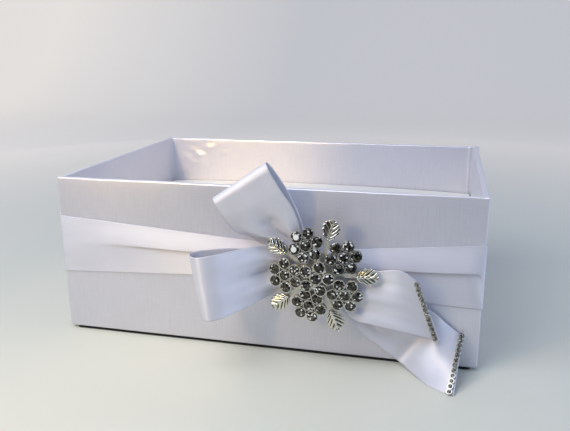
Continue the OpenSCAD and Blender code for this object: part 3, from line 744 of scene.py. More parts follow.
class CARDBOX_OT_cover_cloth(bpy.types.Operator):
    """Wraps the box in dupion, turned in under the base and over the rim"""

    bl_idname = "card_box.cover_cloth"
    bl_label = "Cover cloth"

    def execute(self, context):
        section = cover_section()
        stops = round_from(0.0, BACK, ROUND_STEP, fine=True)
        plan = distances([plan_point(s, 0, MM, 0) for s in stops])
        run = distances([Vector((inset, z)) * MM for inset, z, _ in section])

        def place(i, j):
            stop = stops[i % (len(stops) - 1)]
            inset, z, radius = section[j]
            p = plan_point(stop, inset * MM, radius * MM, z * MM)
            lift, rise = cover_lift(p, stop, inset)
            away = -1 if inset > WALL / 2 else 1
            out = Vector((stop[2], stop[3], 0)) * lift * away * MM
            return p + out + Vector((0, 0, rise * sizes().rim_wander))

        bm = sheet_grid(len(stops) - 1, len(section) - 1, place, lambda i, j: (plan[i], run[j]))
        # The rim line is marked for the painted highlight on the cloth there
        painted_rim_highlight = bm.verts.layers.float.new("painted_rim_highlight")
        for vert in bm.verts:
            vert[painted_rim_highlight] = bell(vert.co.z / MM, RIM_Z, RIM_HIGHLIGHT_SPREAD)
        bmesh.ops.remove_doubles(bm, verts=bm.verts, dist=WELD)
        faced_out(bm)
        cloth = finished(bm, "cover_cloth", woven_dupion, "cover_fabric", "fabric_cover")
        thickened(cloth, sizes().cloth_thickness, -1)
        return {"FINISHED"}


# Sash: its height, its drawing in towards the knot, and its folds

SASH_Z = 59
SASH_TILT = 1.7
SASH_PINCH = 18
SASH_OUT = 0.3
LATE_PULL = 2.5
# The fold across the sash as (share of its width, share of the fold's height), from the lower edge up:
# the upper band hangs over the lower one.
HANGING_FOLD = (
    (0, 0.05), (0.16, 0.1), (0.33, 0.2), (0.49, 0.26), (0.6, 0.25), (0.645, 0.45), (0.615, 0.8),
    (0.575, 1), (0.605, 1.12), (0.7, 0.95), (0.82, 0.55), (0.92, 0.22), (1, 0.05),
)
HANGING_PROFILE = [Vector(q) for q in HANGING_FOLD]
# The shares of the pull by which the fold has come up, left and right of the knot, and how far at the right
FOLD_LEFT, FOLD_RIGHT = 0.45, 0.06
FOLD_RIGHT_SHARE = 0.999
SQUARE_ON = 0.99
SASH_ROWS = 60
SASH_STEP = 4 * MM


def sash_pull(x):
    """How far the sash is drawn in at x on the front: 0 at the corners, 1 at the knot."""
    run = HALF_X + (KNOT.x if x < KNOT.x else -KNOT.x)
    return min(max(1 - abs(x - KNOT.x) / run, 0.0), 1.0)


def sash_place(stop, share):
    """The place of the sash at a stop round the box and a share of its width."""
    on_front = stop[3] < -SQUARE_ON
    x = plan_point(stop, 0, MM, 0).x
    pull = sash_pull(x) if on_front else 0.0
    left = x < KNOT.x
    if left:
        fold = smooth_step(0.0, FOLD_LEFT, pull)
    else:
        fold = smooth_step(0.0, FOLD_RIGHT, pull) * FOLD_RIGHT_SHARE
    folded = along(HANGING_PROFILE, share * (len(HANGING_PROFILE) - 1))
    height = mix(share, folded.x, fold)
    out = SASH_OUT * MM + sizes().sash_fold * folded.y * fold
    width = sizes().ribbon_width
    pinched = SASH_PINCH * MM
    middle = (SASH_Z - SASH_TILT * x / (2 * HALF_X)) * MM
    upper = middle + mix(width, pinched, pull) / 2
    lower = middle - mix(width, pinched, pull if left else pull**LATE_PULL) / 2
    return plan_point(stop, -out, MM + out, mix(lower, upper, height))


class CARDBOX_OT_satin_sash(bpy.types.Operator):
    """Lays the satin sash round the box, drawn in and folded at the knot"""

    bl_idname = "card_box.satin_sash"
    bl_label = "Satin sash"

    def execute(self, context):
        stops = round_from(KNOT.x / (HALF_X - MM), FRONT, SASH_STEP)
        plan = distances([plan_point(s, 0, MM, 0) for s in stops])
        width = sizes().ribbon_width
        # The two ends meet under the knot, so the last stop is read as lying left of it
        stops[-1] = (stops[-1][0] - 1e-6, *stops[-1][1:])
        bm = sheet_grid(
            len(stops) - 1,
            SASH_ROWS,
            lambda i, j: sash_place(stops[i], j / SASH_ROWS),
            lambda i, j: (plan[i], width * j / SASH_ROWS),
        )
        faced_out(bm)
        sash = finished(bm, "satin_sash", drawn_satin, "satin_ribbon", "sash_band")
        thickened(sash, sizes().ribbon_thickness, 0)
        return {"FINISHED"}


# Bow: each ribbon runs through stations, which give its two edges and the height of its pleats

GATHER_R = KNOT_R - 1.5 * MM
REST_Z = 0.4
LEAN_SHARE = 0.96


def from_knot(x, out, z):
    """A place right of the knot, out from the front face and above the knot, in millimetres."""
    return KNOT + Vector((x, -out, z)) * MM


def at_knot(angle, out):
    """A place where ribbon runs out of the knot at an angle, out from the front face in millimetres."""
    turn = math.radians(angle)
    return KNOT + Vector((GATHER_R * math.cos(turn), -out * MM, GATHER_R * math.sin(turn)))


def station(middle, across, share, pleats=0.0):
    """A station round its middle, across in a direction, with shares of the ribbon's width and pleats."""
    half = Vector((across[0], -across[1], across[2])).normalized() * sizes().ribbon_width * share / 2
    return middle - half, middle + half, pleats * sizes().pleat_height


def leaning(upper_x, upper_out, upper_z, lower_x):
    """A station with its upper edge by the front face and its lower edge on the table."""
    wide = sizes().ribbon_width * LEAN_SHARE / MM
    reach = math.sqrt(wide**2 - (upper_z - REST_Z) ** 2 - (upper_x - lower_x) ** 2)
    upper = Vector((KNOT.x + upper_x * MM, KNOT.y - upper_out * MM, upper_z * MM))
    lower = Vector((KNOT.x + lower_x * MM, KNOT.y - (upper_out + reach) * MM, REST_Z * MM))
    return lower, upper, 0.0


def upper_loop_route():
    """The loop that stands up at the left, out from the knot and back behind itself."""
    return [
        station(at_knot(122, 9), (0.85, 0, 0.53), 0.22, 0.7),
        station(from_knot(-18.6, 9.2, 19), (17, 0, 4), 0.46, 1),
        station(from_knot(-26.6, 10.6, 24.5), (28, 0, 10), 0.8, 0.8),
        station(from_knot(-32, 15, 31.5), (34, 0, 16), 1, 0.3),
        station(from_knot(-37, 20, 42.5), (35, 0, 18), 1),
        station(from_knot(-41.5, 23, 51), (33, 0, 21), 1),
        station(from_knot(-44, 19.5, 54.8), (32, 0, 22), 1),
        station(from_knot(-41.5, 15, 51), (33, 0, 21), 1),
        station(from_knot(-36, 11, 41), (35, 0, 17), 1),
        station(from_knot(-30, 8.5, 30), (34, 0, 12), 0.96, 0.3),
        station(from_knot(-22, 6.2, 19), (25, 0, 9), 0.72, 0.5),
        station(at_knot(122, 5.2), (0.85, 0, 0.53), 0.22, 0.6),
    ]


def left_loop_route():
    """The loop that lies to the left, out from the knot and back behind itself."""
    return [
        station(at_knot(188, 8.8), (0, 0, 1), 0.2, 0.7),
        station(from_knot(-28, 9.4, -1), (-2, 0, 38), 0.76, 1),
        station(from_knot(-43, 23, -3), (-3, 0, 38), 0.94, 0.5),
        station(from_knot(-54, 36, -4), (-4, 0, 38), 1),
        station(from_knot(-61.5, 39.5, -4.6), (-5, 0, 38), 1),
        station(from_knot(-67, 34, -5.2), (-6, 0, 38), 1),
        station(from_knot(-67.5, 26.5, -5.8), (-6, 0, 38), 1),
        station(from_knot(-62.5, 20, -6.2), (-5, 0, 38), 1),
        station(from_knot(-48, 12, -6), (-3, 0, 38), 0.96, 0.3),
        station(from_knot(-30, 7, -4), (-1, 0, 38), 0.7, 0.6),
        station(at_knot(188, 5), (0, 0, 1), 0.2, 0.6),
    ]


def upper_tail_route():
    """The short tail to the right, cut on a slant."""
    return [
        station(at_knot(-14, 8.8), (0.2, 0, 0.98), 0.24, 0.7),
        station(from_knot(20, 9, -10), (4, 0, 32), 0.8, 1),
        station(from_knot(33, 11, -12), (1, 0, 32), 0.88, 0.6),
        station(from_knot(49, 12.5, -12.5), (-5, 1, 38), 1, 0.2),
        station(from_knot(63.2, 12, -17.3), (-14, 3.5, 37), 1),
    ]


def lower_tail_route():
    """The long tail, down to the table and out along it."""
    across = (0.47, 0, 0.88)
    start = at_knot(-52, 5)
    foot = from_knot(57, 3.6, 0)
    foot.z = 2.4 * MM + sizes().ribbon_width / 2 * across[2]
    return [
        station(start, across, 0.24, 0.6),
        station(start.lerp(foot, 0.49), across, 0.8, 0.8),
        station(start.lerp(foot, 0.74), across, 0.92, 0.3),
        station(foot, across, 1),
        leaning(73.5, 2.2, 29, 64),
        leaning(82.8, 1.8, 22, 78.8),
    ]


# A finer wave on the pleats: its share of their height, its waves across and its drift per station
FINE_PLEAT, FINE_WAVES, FINE_DRIFT = 0.25, 5.3, 0.21
SLOPE_STEP = 0.01
FACING_STEP = 0.02


class Ribbon:
    """A ribbon lofted through its stations, s counting them and v running across from 0 to 1.

    Dents are given as (s, v, spread in s, spread in v, depth in millimetres).
    """

    def __init__(self, route, dents=()):
        self.lower, self.upper, self.pleats = ([q[k] for q in route] for k in range(3))
        self.middle = [(a + b) / 2 for a, b in zip(self.lower, self.upper)]
        self.last = len(route) - 1
        self.dents = dents

    def row(self, s):
        """The ribbon across at s: its lower edge, its upper edge, its facing and its pleat height."""
        t = min(max(s, SLOPE_STEP), self.last - SLOPE_STEP)
        a, b = along(self.lower, s), along(self.upper, s)
        ahead = along(self.middle, t + SLOPE_STEP) - along(self.middle, t - SLOPE_STEP)
        return a, b, ahead.cross(b - a).normalized(), max(along(self.pleats, s), 0.0)

    def point(self, s, v, row=None):
        """The place at s and v, with pleats and dents."""
        a, b, facing, pleat = row or self.row(s)
        wave = math.cos(math.tau * sizes().pleat_count * v)
        wave += FINE_PLEAT * math.cos(math.tau * (FINE_WAVES * v + FINE_DRIFT * s))
        dent = sum(d * bell(s, ds, ws) * bell(v, dv, wv) for ds, dv, ws, wv, d in self.dents)
        return a.lerp(b, v) + facing * (pleat * wave + dent * MM)

    def facing(self, s, v):
        """The direction that the front of the ribbon faces at s and v."""
        step = FACING_STEP
        s = min(max(s, step), self.last - step)
        v = min(max(v, step), 1 - step)
        ahead = self.point(s + step, v) - self.point(s - step, v)
        return ahead.cross(self.point(s, v + step) - self.point(s, v - step)).normalized()


# Dents pressed into the front layers by the knot's pull
UPPER_LOOP_DENTS = (
    (2.5, 0.58, 0.5, 0.15, 2.2),
    (2.1, 0.86, 0.6, 0.1, -0.8),
    (3.2, 0.3, 0.7, 0.2, -0.8),
    (4.0, 0.5, 0.6, 2.0, -1.4),
)
LEFT_LOOP_DENTS = ((1.2, 0.5, 0.5, 0.12, 1.4), (0.9, 0.76, 0.3, 0.1, -0.9), (0.9, 0.3, 0.3, 0.1, -0.9))
LOWER_TAIL_DENTS = ((4.0, 0.25, 0.5, 0.25, -2.0), (3.6, 0.8, 0.5, 0.3, 1.2))
ROWS_PER_STATION = 14
RIBBON_COLUMNS = 40


def lofted(ribbon, name, replaced):
    """Makes a ribbon's sheet."""
    rows = ribbon.last * ROWS_PER_STATION
    lines = [ribbon.row(i / ROWS_PER_STATION) for i in range(rows + 1)]
    run = distances([(a + b) / 2 for a, b, _, _ in lines])
    width = sizes().ribbon_width
    bm = sheet_grid(
        rows,
        RIBBON_COLUMNS,
        lambda i, j: ribbon.point(i / ROWS_PER_STATION, j / RIBBON_COLUMNS, lines[i]),
        lambda i, j: (run[i], width * j / RIBBON_COLUMNS),
    )
    piece = finished(bm, name, woven_satin, "satin_ribbon", replaced)
    thickened(piece, sizes().ribbon_thickness, 0)
    return piece


# The knot is a ball squared by a power and drawn in from its solid, with pleats by share of its depth
KNOT_SQUARING = 0.7
KNOT_PLEAT, KNOT_PLEAT_TURN = 0.06, 14
KNOT_DEPTH, KNOT_DRAWN_IN = 0.9, 0.96


class CARDBOX_OT_satin_knot(bpy.types.Operator):
    """Makes the pleated knot behind the brooch"""

    bl_idname = "card_box.satin_knot"
    bl_label = "Satin knot"

    def execute(self, context):
        bm = bmesh.new()
        bm.loops.layers.uv.new("UVMap")
        bmesh.ops.create_uvsphere(bm, u_segments=64, v_segments=32, radius=1, calc_uvs=True)
        half = (KNOT_HIGH - KNOT_LOW) / 2
        middle = (KNOT_HIGH + KNOT_LOW) / 2
        for vert in bm.verts:
            p = Vector([math.copysign(abs(c) ** KNOT_SQUARING, c) for c in vert.co])
            pleat = KNOT_PLEAT * math.cos(p.x * KNOT_PLEAT_TURN) * (1 - abs(p.z) ** 3)
            deep = half.y * (KNOT_DEPTH + pleat)
            vert.co = middle + Vector((p.x * half.x, p.y * deep, p.z * half.z)) * KNOT_DRAWN_IN
        knot = finished(bm, "satin_knot", woven_satin, "satin_ribbon", "bow_knot")
        return {"FINISHED"}


class CARDBOX_OT_satin_bow(bpy.types.Operator):
    """Makes the two loops and the two tails of the bow"""

    bl_idname = "card_box.satin_bow"
    bl_label = "Satin bow"

    def execute(self, context):
        lofted(Ribbon(upper_loop_route(), UPPER_LOOP_DENTS), "satin_upper_loop", "bow_upper_loop")
        lofted(Ribbon(left_loop_route(), LEFT_LOOP_DENTS), "satin_left_loop", "bow_left_loop")
        lofted(Ribbon(upper_tail_route()), "satin_upper_tail", "bow_upper_tail")
        lofted(Ribbon(lower_tail_route(), LOWER_TAIL_DENTS), "satin_lower_tail", "bow_lower_tail")
        return {"FINISHED"}


# Stones: a cut stone in profile as (radius, height) in shares of its own radius, spun round in steps

STONE_PROFILE = ((0, 0), (0.3, 0), (1, 0.42), (1, 0.52), (0.82, 0.68), (0.55, 0.84), (0.3, 0.84), (0, 0.84))
STONE_SIDES = 16
# Rings of facets by their distance from the stone's axis, as (reach, facets round the ring, share painted as
# flashing)
FACET_RINGS = ((0.25, 4, 0.03), (0.5, 8, 0.08), (0.75, 16, 0.12), (1.1, 16, 0.1))
# Facets not painted as flashing have painted tones up to this, most of them darkened by a power;
# a pale stone is painted flashing, as a painted reflection of the lamp, on all facets within a share of its
# radius
DULL_TONE, DULL_POWER = 0.7, 2.5
PAINTED_FLASH_TONE, PAINTED_FLASH_REACH = 1.1, 0.6


def cut_stone(radius):
    """One cut stone, standing on its own origin."""
    bm = bmesh.new()
    verts = [bm.verts.new((r * radius, 0, z * radius)) for r, z in STONE_PROFILE]
    edges = [bm.edges.new(pair) for pair in zip(verts, verts[1:])]
    bmesh.ops.spin(
        bm,
        geom=verts + edges,
        cent=(0, 0, 0),
        axis=(0, 0, 1),
        angle=math.tau,
        steps=STONE_SIDES,
        use_merge=True,
    )
    bmesh.ops.remove_doubles(bm, verts=bm.verts, dist=radius * 0.001)
    bmesh.ops.recalc_face_normals(bm, faces=bm.faces)
    mesh = bpy.data.meshes.new("cut_stone")
    bm.to_mesh(mesh)
    bm.free()
    return mesh


def facet_tone(centre, radius, seed):
    """The painted light of a facet, how much it seems to throw back: most are dark, some smoky, and a few
    painted as flashing.
    """
    ring = next(k for k, row in enumerate(FACET_RINGS) if centre.xy.length < row[0] * radius)
    _, count, flashing = FACET_RINGS[ring]
    sector = int((math.atan2(centre.y, centre.x) / math.tau + 0.5) * count)
    # A scattered number from 0 to 1, always the same for the same facet of the same stone
    chance = math.sin(12.9898 * (sector + 1) + 78.233 * (ring + 1) + 37.719 * seed) * 43758.5453
    chance -= math.floor(chance)
    return 1.0 if chance > 1 - flashing else chance**DULL_POWER * DULL_TONE


def set_stones(name, places, radius, replaced, painted_reflection=0.0, pale=()):
    """Sets cut stones at the given places, each facet with its own painted light; pale ones are painted as
    catching the lamp.
    """
    stone = cut_stone(radius)
    bm = bmesh.new()
    # Each facet's tone is its painted share of reflected light
    tone = bm.faces.layers.float.new("tone")
    for k, place in enumerate(places):
        verts, faces = len(bm.verts), len(bm.faces)
        bm.from_mesh(stone)
        bm.verts.ensure_lookup_table()
        bm.faces.ensure_lookup_table()
        seed = k + len(name) + 7 * sum(place.translation) / radius
        for face in bm.faces[faces:]:
            centre = face.calc_center_median()
            # Near its middle, a pale stone's facets are painted as flashing with the lamp's reflection
            flash = k in pale and centre.xy.length < PAINTED_FLASH_REACH * radius
            face[tone] = PAINTED_FLASH_TONE if flash else facet_tone(centre, radius, seed) + painted_reflection
        bmesh.ops.transform(bm, matrix=place, verts=bm.verts[verts:])
    bpy.data.meshes.remove(stone)
    return finished(bm, name, smoky_rhinestone, "smoky_stone", replaced, smooth=False)


# Brooch layout, in millimetres and degrees, in its own plane

PETALS = 5
BROOCH_TURN = 3
FLORET_R = 18.8
FLORET_LEAN = 8
FRAME_T = 1.2
POST_H = 4.4
FLORET_STONES, FLORET_STONES_TURN = 6, 30
STONE_PITCH = 7.2
CUP_FLOOR = 0.6
LEAF_TIP_R = 35
# Painted reflections: the lower florets' facets are painted lighter for the table they mirror,
# the chain's stones are painted lighter all over, and two stones of the second floret are painted pale for
# the lamp
LOW_PAINTED_REFLECTION = 0.1
CHAIN_PAINTED_REFLECTION = 0.24
PAINTED_LAMP_STONES = {2: (1, 2)}


def moved(x=0.0, y=0.0, z=0.0):
    """A move in millimetres."""
    return Matrix.Translation(Vector((x, y, z)) * MM)


def turned(angle, axis):
    """A turn in degrees about an axis."""
    return Matrix.Rotation(math.radians(angle), 4, axis)


def on_brooch():
    """The brooch's own plane, with its Z pointing out of the front."""
    return Matrix.Translation((KNOT.x, BROOCH_Y, KNOT.z)) @ turned(90, "X")


def on_floret(k):
    """The seat of an outer floret, which leans outwards."""
    turn = BROOCH_TURN + 360 / PETALS * (k + 0.5)
    return on_brooch() @ turned(turn, "Z") @ moved(FLORET_R, 0, FRAME_T) @ turned(FLORET_LEAN, "Y")


def stone_places(base, count, turn):
    """Places of one stone and of a ring of stones round it."""
    seat = moved(z=CUP_FLOOR) @ turned(180 / STONE_SIDES, "Z")
    ring = [turned(turn + 360 / count * i, "Z") @ moved(STONE_PITCH) for i in range(count)]
    return [base @ place @ seat for place in [Matrix.Identity(4), *ring]]


class CARDBOX_OT_brooch_stones(bpy.types.Operator):
    """Sets the stones of the brooch's florets"""

    bl_idname = "card_box.brooch_stones"
    bl_label = "Brooch stones"

    def execute(self, context):
        radius = sizes().stone_width / 2
        for k in range(PETALS):
            floret = on_floret(k)
            places = stone_places(floret, FLORET_STONES, FLORET_STONES_TURN)
            painted_reflection = LOW_PAINTED_REFLECTION if floret.translation.z < KNOT.z else 0.0
            pale = PAINTED_LAMP_STONES.get(k + 1, ())
            set_stones(f"floret_{k + 1}_gems", places, radius, f"floret_{k + 1}_stones", painted_reflection, pale)
        middle = on_brooch() @ moved(z=FRAME_T + POST_H)
        set_stones("middle_gems", stone_places(middle, PETALS, BROOCH_TURN), radius, "middle_stones")
        return {"FINISHED"}


# Rhinestone chain, in millimetres

CHAIN_PITCH = 3.15
CHAIN_INSET = 1.9
CHAIN_CUP_D = 3.0
CHAIN_FLOOR = 0.4
CHAIN_STONE_R = 1.2
CHAIN_STONE_TALL = Matrix.Diagonal((1, 1, 1.75, 1))
RIBBON_SOLID_T = 0.5
LAY_GAP = 0.05


def chain_places(ribbon):
    """Places of the chain's stones, in a row across a tail by its cut end."""
    step = 0.2
    last = ribbon.last
    reach = (ribbon.point(last, 0.5) - ribbon.point(last - step, 0.5)).length / step
    s = last - CHAIN_INSET * MM / reach
    across = ribbon.point(s, 1) - ribbon.point(s, 0)
    count = int((sizes().ribbon_width / MM - CHAIN_CUP_D) / CHAIN_PITCH) + 1
    places = []
    for i in range(count):
        v = 0.5 + (i - (count - 1) / 2) * CHAIN_PITCH * MM / across.length
        up = ribbon.facing(s, v)
        side = up.cross(across).normalized()
        rise = RIBBON_SOLID_T / 2 + 2 * LAY_GAP + CHAIN_FLOOR
        base = ribbon.point(s, v) + up * rise * MM
        places.append(Matrix.Translation(base) @ Matrix((side.cross(up), side, up)).transposed().to_4x4())
    return places


class CARDBOX_OT_chain_stones(bpy.types.Operator):
    """Sets the stones of the two rhinestone chains"""

    bl_idname = "card_box.chain_stones"
    bl_label = "Chain stones"

    def execute(self, context):
        for name, route in (("upper", upper_tail_route()), ("lower", lower_tail_route())):
            places = [p @ CHAIN_STONE_TALL for p in chain_places(Ribbon(route))]
            set_stones(f"{name}_chain_gems", places, CHAIN_STONE_R * MM, f"{name}_chain_stones", CHAIN_PAINTED_REFLECTION)
        return {"FINISHED"}


# Leaves: a cast blade with feathered lobes, a raised midrib and dark grooves between its veins

LEAF_TEETH = 5.6
TOOTH_TIP = 0.65
NOTCH_SHARE = 0.78
TOOTH_START = 0.1
LEAF_BELLY, LEAF_ROUND = 0.8, 0.75
STALK_HALF = 0.5
VEIN_SWEEP, VEIN_ROOT = 0.42, 0.6
VEIN_RISE = 0.55
RIB_HALF, RIB_RISE, RIB_FADE = 0.75, 0.6, 0.6
GROOVE_DEPTH, GROOVE_FADE = 0.3, 0.6
TARNISH_POWER = 1.5
EDGE_FALL = 0.35
LEAF_FALL = 12
BLADE_T = 0.7
LEAF_T = 0.9
# The pad under a leaf: its height, and its inset from the leaf's foot, length and width
PAD_H = 1
PAD = (0.2, 3.6, 2.4)


def leaf_surface(t, w):
    """A point on a leaf's face at t along it and w across it, and how deep in a groove it is."""
    long, wide = sizes().leaf_length / MM, sizes().leaf_width / MM
    q = (t * LEAF_TEETH - TOOTH_START) % 1.0
    tooth = q / TOOTH_TIP if q < TOOTH_TIP else (1 - q) / (1 - TOOTH_TIP)
    tooth *= smooth_step(0.0, 0.1, t)
    half = wide / 2 * math.sin(math.pi * t**LEAF_BELLY) ** LEAF_ROUND if 0 < t < 1 else 0.0
    half = max(half * mix(NOTCH_SHARE, 1, tooth), STALK_HALF * (1 - t))
    side = abs(w)
    x = long * (t + VEIN_SWEEP * (side - VEIN_ROOT) * math.sin(math.pi * t))
    y = w * half
    rib = bell(y, 0, RIB_HALF)
    ridge = 0.5 + 0.5 * math.cos(math.tau * (q - TOOTH_TIP))
    groove = (1 - ridge) ** 2 * smooth_step(0.06, 0.25, side)
    groove *= 1 - GROOVE_FADE * smooth_step(0.6, 1.0, side)
    z = LEAF_T - abs(y) * math.tan(math.radians(LEAF_FALL)) - EDGE_FALL * side**3
    z += RIB_RISE * rib * (1 - RIB_FADE * t) + VEIN_RISE * ridge * smooth_step(0.05, 0.3, side)
    z -= GROOVE_DEPTH * groove
    return Vector((x, y, z)) * MM, groove


LEAF_STEPS = 72
LEAF_COLUMNS = 28


class CARDBOX_OT_leaves(bpy.types.Operator):
    """Makes the brooch's five cast leaves"""

    bl_idname = "card_box.leaves"
    bl_label = "Leaves"

    def execute(self, context):
        for k in range(PETALS):
            place = on_brooch() @ turned(BROOCH_TURN + 360 / PETALS * k, "Z")
            place = place @ moved(LEAF_TIP_R - sizes().leaf_length / MM, 0, FRAME_T)
            bm = bmesh.new()
            recess = bm.verts.layers.float.new("recess")
            bmesh.ops.create_grid(bm, x_segments=LEAF_STEPS, y_segments=LEAF_COLUMNS, size=0.5)
            for vert in bm.verts:
                p, groove = leaf_surface(vert.co.x + 0.5, 2 * vert.co.y)
                vert.co = p + Vector((0, 0, PAD_H * MM))
                vert[recess] = groove**TARNISH_POWER
            bmesh.ops.solidify(bm, geom=bm.faces[:], thickness=BLADE_T * MM)
            inset, long, wide = PAD
            high = PAD_H + LEAF_T / 2
            box = moved(inset + long / 2, 0, high / 2) @ Matrix.Diagonal((long * MM, wide * MM, high * MM, 1))
            bmesh.ops.create_cube(bm, size=1, matrix=box)
            bmesh.ops.transform(bm, matrix=place, verts=bm.verts)
            bmesh.ops.recalc_face_normals(bm, faces=bm.faces)
            finished(bm, f"cast_leaf_{k + 1}", plated_silver, "silver_plate", f"leaf_{k + 1}")
        return {"FINISHED"}


# Solids that show as they are, by finish

FINISHES = (
    (pressed_felt, ("base_felt",)),
    (grey_board, ("base_board", "front_board", "back_board", "left_board", "right_board")),
    (white_card, ("ledge_front", "ledge_back", "ledge_left", "ledge_right", "floor_panel")),
    (set_glue, ("brooch_glue",)),
    (toned_silver, ("middle_setting", *(f"floret_{k}_setting" for k in range(1, PETALS + 1)))),
    (blackened_silver, ("brooch_frame",)),
    (bright_silver, ("upper_chain_cups", "lower_chain_cups")),
)


class CARDBOX_OT_finishes(bpy.types.Operator):
    """Gives the boards, the felt, the panel and the metal settings their finishes"""

    bl_idname = "card_box.finishes"
    bl_label = "Board and metal finishes"

    def execute(self, context):
        for paint, solids in FINISHES:
            for solid in solids:
                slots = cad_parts[solid].data.materials
                slots.clear()
                slots.append(material(paint))
        return {"FINISHED"}


# Stage: table with a sweep behind, lamps from the left and above, a cool sky and the camera

SWEEP_HALF = 3.0
SWEEP_WIDER = 2.0
SWEEP_START = 1.1
SWEEP_R = 0.7
CAMERA_PLACE = Vector((107.443, -443.164, 187.251)) * MM
CAMERA_YAW, CAMERA_PITCH, CAMERA_ROLL = 14.2, 15.27, -0.42
CAMERA_LENS, CAMERA_SENSOR = 40.595, 36
CAMERA_NEAR = 0.01
# Lamps as (name, place, aim, size, power, tint, cone in degrees or 0 for a soft panel)
MIDDLE = (0, 0, 0.05)
LAMPS = (
    ("low_lamp", (-0.172, -0.386, 0.229), MIDDLE, 0.04, 0.36, "#ffd884", 0),
    ("window", (-0.24, -0.36, 0.62), MIDDLE, 0.5, 3.1, "#eff4ff", 0),
    ("ceiling", (0.1, 0.0, 1.2), MIDDLE, 0.8, 1.7, "#ffdfaa", 0),
    ("side_window", (0.75, -0.2, 0.2), MIDDLE, 0.3, 1.3, "#d9e5ff", 0),
    ("glance", (-0.19, -0.62, 0.34), (-0.06, 0.085, 0.098), 0.05, 13.0, "#ffd998", 13),
)
# Dark cards that show only in reflections, as (name, middle, half width, half height, turn about Z, tilt)
CARDS = (
    ("card_behind_camera", (0.3, -1.5, 0.75), 1.3, 0.7, 0, 90),
    ("card_right", (1.6, -0.4, 0.7), 0.8, 0.6, 90, 90),
    ("card_on_table", (0.0, -0.52, 0.002), 1.2, 0.2, 0, 0),
)
SKY = "#9fc5ff"
SKY_STRENGTH = 0.47
WALL_SEEN = "#b4c0d2"


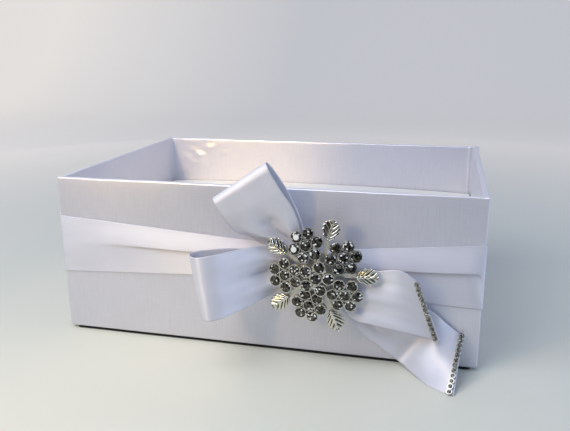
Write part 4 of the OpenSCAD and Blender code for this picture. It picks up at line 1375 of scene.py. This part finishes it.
class CARDBOX_OT_stage(bpy.types.Operator):
    """Sets up the table, the lamps and the camera"""

    bl_idname = "card_box.stage"
    bl_label = "Stage"

    def execute(self, context):
        scene = context.scene
        bm = bmesh.new()
        bmesh.ops.create_grid(bm, x_segments=8, y_segments=96, size=SWEEP_HALF)
        for vert in bm.verts:
            vert.co.x *= SWEEP_WIDER
            over = vert.co.y - SWEEP_START
            if over > 0:
                turn = min(over / SWEEP_R, math.pi / 2)
                vert.co.y = SWEEP_START + SWEEP_R * math.sin(turn)
                vert.co.z = SWEEP_R * (1 - math.cos(turn)) + max(over - SWEEP_R * math.pi / 2, 0)
        table = placed(bm, "table", lacquered_table)

        for name, middle, wide, high, turn, tilt in CARDS:
            place = Matrix.Translation(middle) @ turned(turn, "Z") @ turned(tilt, "X")
            bm = bmesh.new()
            bmesh.ops.create_grid(bm, x_segments=2, y_segments=2, size=1)
            bmesh.ops.transform(bm, matrix=place @ Matrix.Diagonal((wide, high, 1, 1)), verts=bm.verts)
            card = placed(bm, name, pressed_felt, smooth=False)
            card.visible_camera = card.visible_diffuse = False
            card.visible_shadow = card.visible_transmission = False

        world = bpy.data.worlds.new("studio")
        world.use_nodes = True
        tree = world.node_tree
        tree.nodes.clear()
        # A pale studio wall shows where the sweep ends, and the pieces are lit by the cool sky
        sky = shaded(linear(SKY), SKY_STRENGTH)
        wall = linear(WALL_SEEN)
        shown = node(
            tree, "ShaderNodeMix", {SHARE: seen_rays(tree), FROM: sky, TO: wall}, data_type="RGBA"
        ).outputs[MIXED]
        background = node(tree, "ShaderNodeBackground", {"Color": shown})
        node(tree, "ShaderNodeOutputWorld", {"Surface": background.outputs[0]})
        scene.world = world

        for name, place, aim, size, power, tint, cone in LAMPS:
            lamp = bpy.data.lights.new(name, "SPOT" if cone else "AREA")
            if cone:
                lamp.spot_size, lamp.spot_blend = math.radians(cone), 1.0
                lamp.shadow_soft_size = size / 2
            else:
                lamp.shape, lamp.size = "SQUARE", size
            lamp.energy = power
            lamp.color = linear(tint)[:3]
            holder = bpy.data.objects.new(name, lamp)
            holder.location = place
            holder.rotation_euler = (Vector(aim) - Vector(place)).to_track_quat("-Z", "Y").to_euler()
            scene.collection.objects.link(holder)

        view = bpy.data.cameras.new("camera")
        view.sensor_fit = "HORIZONTAL"
        view.sensor_width = CAMERA_SENSOR
        view.lens = CAMERA_LENS
        view.clip_start = CAMERA_NEAR
        camera = bpy.data.objects.new("camera", view)
        tilt = turned(CAMERA_YAW, "Z") @ turned(90 - CAMERA_PITCH, "X") @ turned(CAMERA_ROLL, "Z")
        camera.matrix_world = Matrix.Translation(CAMERA_PLACE) @ tilt
        scene.collection.objects.link(camera)
        scene.camera = camera
        scene.view_settings.view_transform = "Standard"
        return {"FINISHED"}


STEPS = (
    CARDBOX_OT_stage,
    CARDBOX_OT_finishes,
    CARDBOX_OT_cover_cloth,
    CARDBOX_OT_satin_sash,
    CARDBOX_OT_satin_knot,
    CARDBOX_OT_satin_bow,
    CARDBOX_OT_leaves,
    CARDBOX_OT_brooch_stones,
    CARDBOX_OT_chain_stones,
)


class CARDBOX_PT_pieces(bpy.types.Panel):
    """Lists the pieces of the card box and their settings"""

    bl_label = "Card Box"
    bl_space_type = "VIEW_3D"
    bl_region_type = "UI"
    bl_category = "Card Box"

    def draw(self, context):
        for step in STEPS:
            self.layout.operator(step.bl_idname)
        for group in (context.scene.card_box_sizes, context.scene.card_box_colours):
            for name in group.bl_rna.properties.keys():
                if name not in ("rna_type", "name"):
                    self.layout.prop(group, name)


CLASSES = (CardBoxSizes, CardBoxColours, *STEPS, CARDBOX_PT_pieces)


def register():
    for cls in CLASSES:
        bpy.utils.register_class(cls)
    bpy.types.Scene.card_box_sizes = PointerProperty(type=CardBoxSizes)
    bpy.types.Scene.card_box_colours = PointerProperty(type=CardBoxColours)


def unregister():
    del bpy.types.Scene.card_box_colours
    del bpy.types.Scene.card_box_sizes
    for cls in reversed(CLASSES):
        bpy.utils.unregister_class(cls)


def main():
    register()
    for step in STEPS:
        group, name = step.bl_idname.split(".")
        getattr(getattr(bpy.ops, group), name)()


if __name__ == "__main__":
    main()
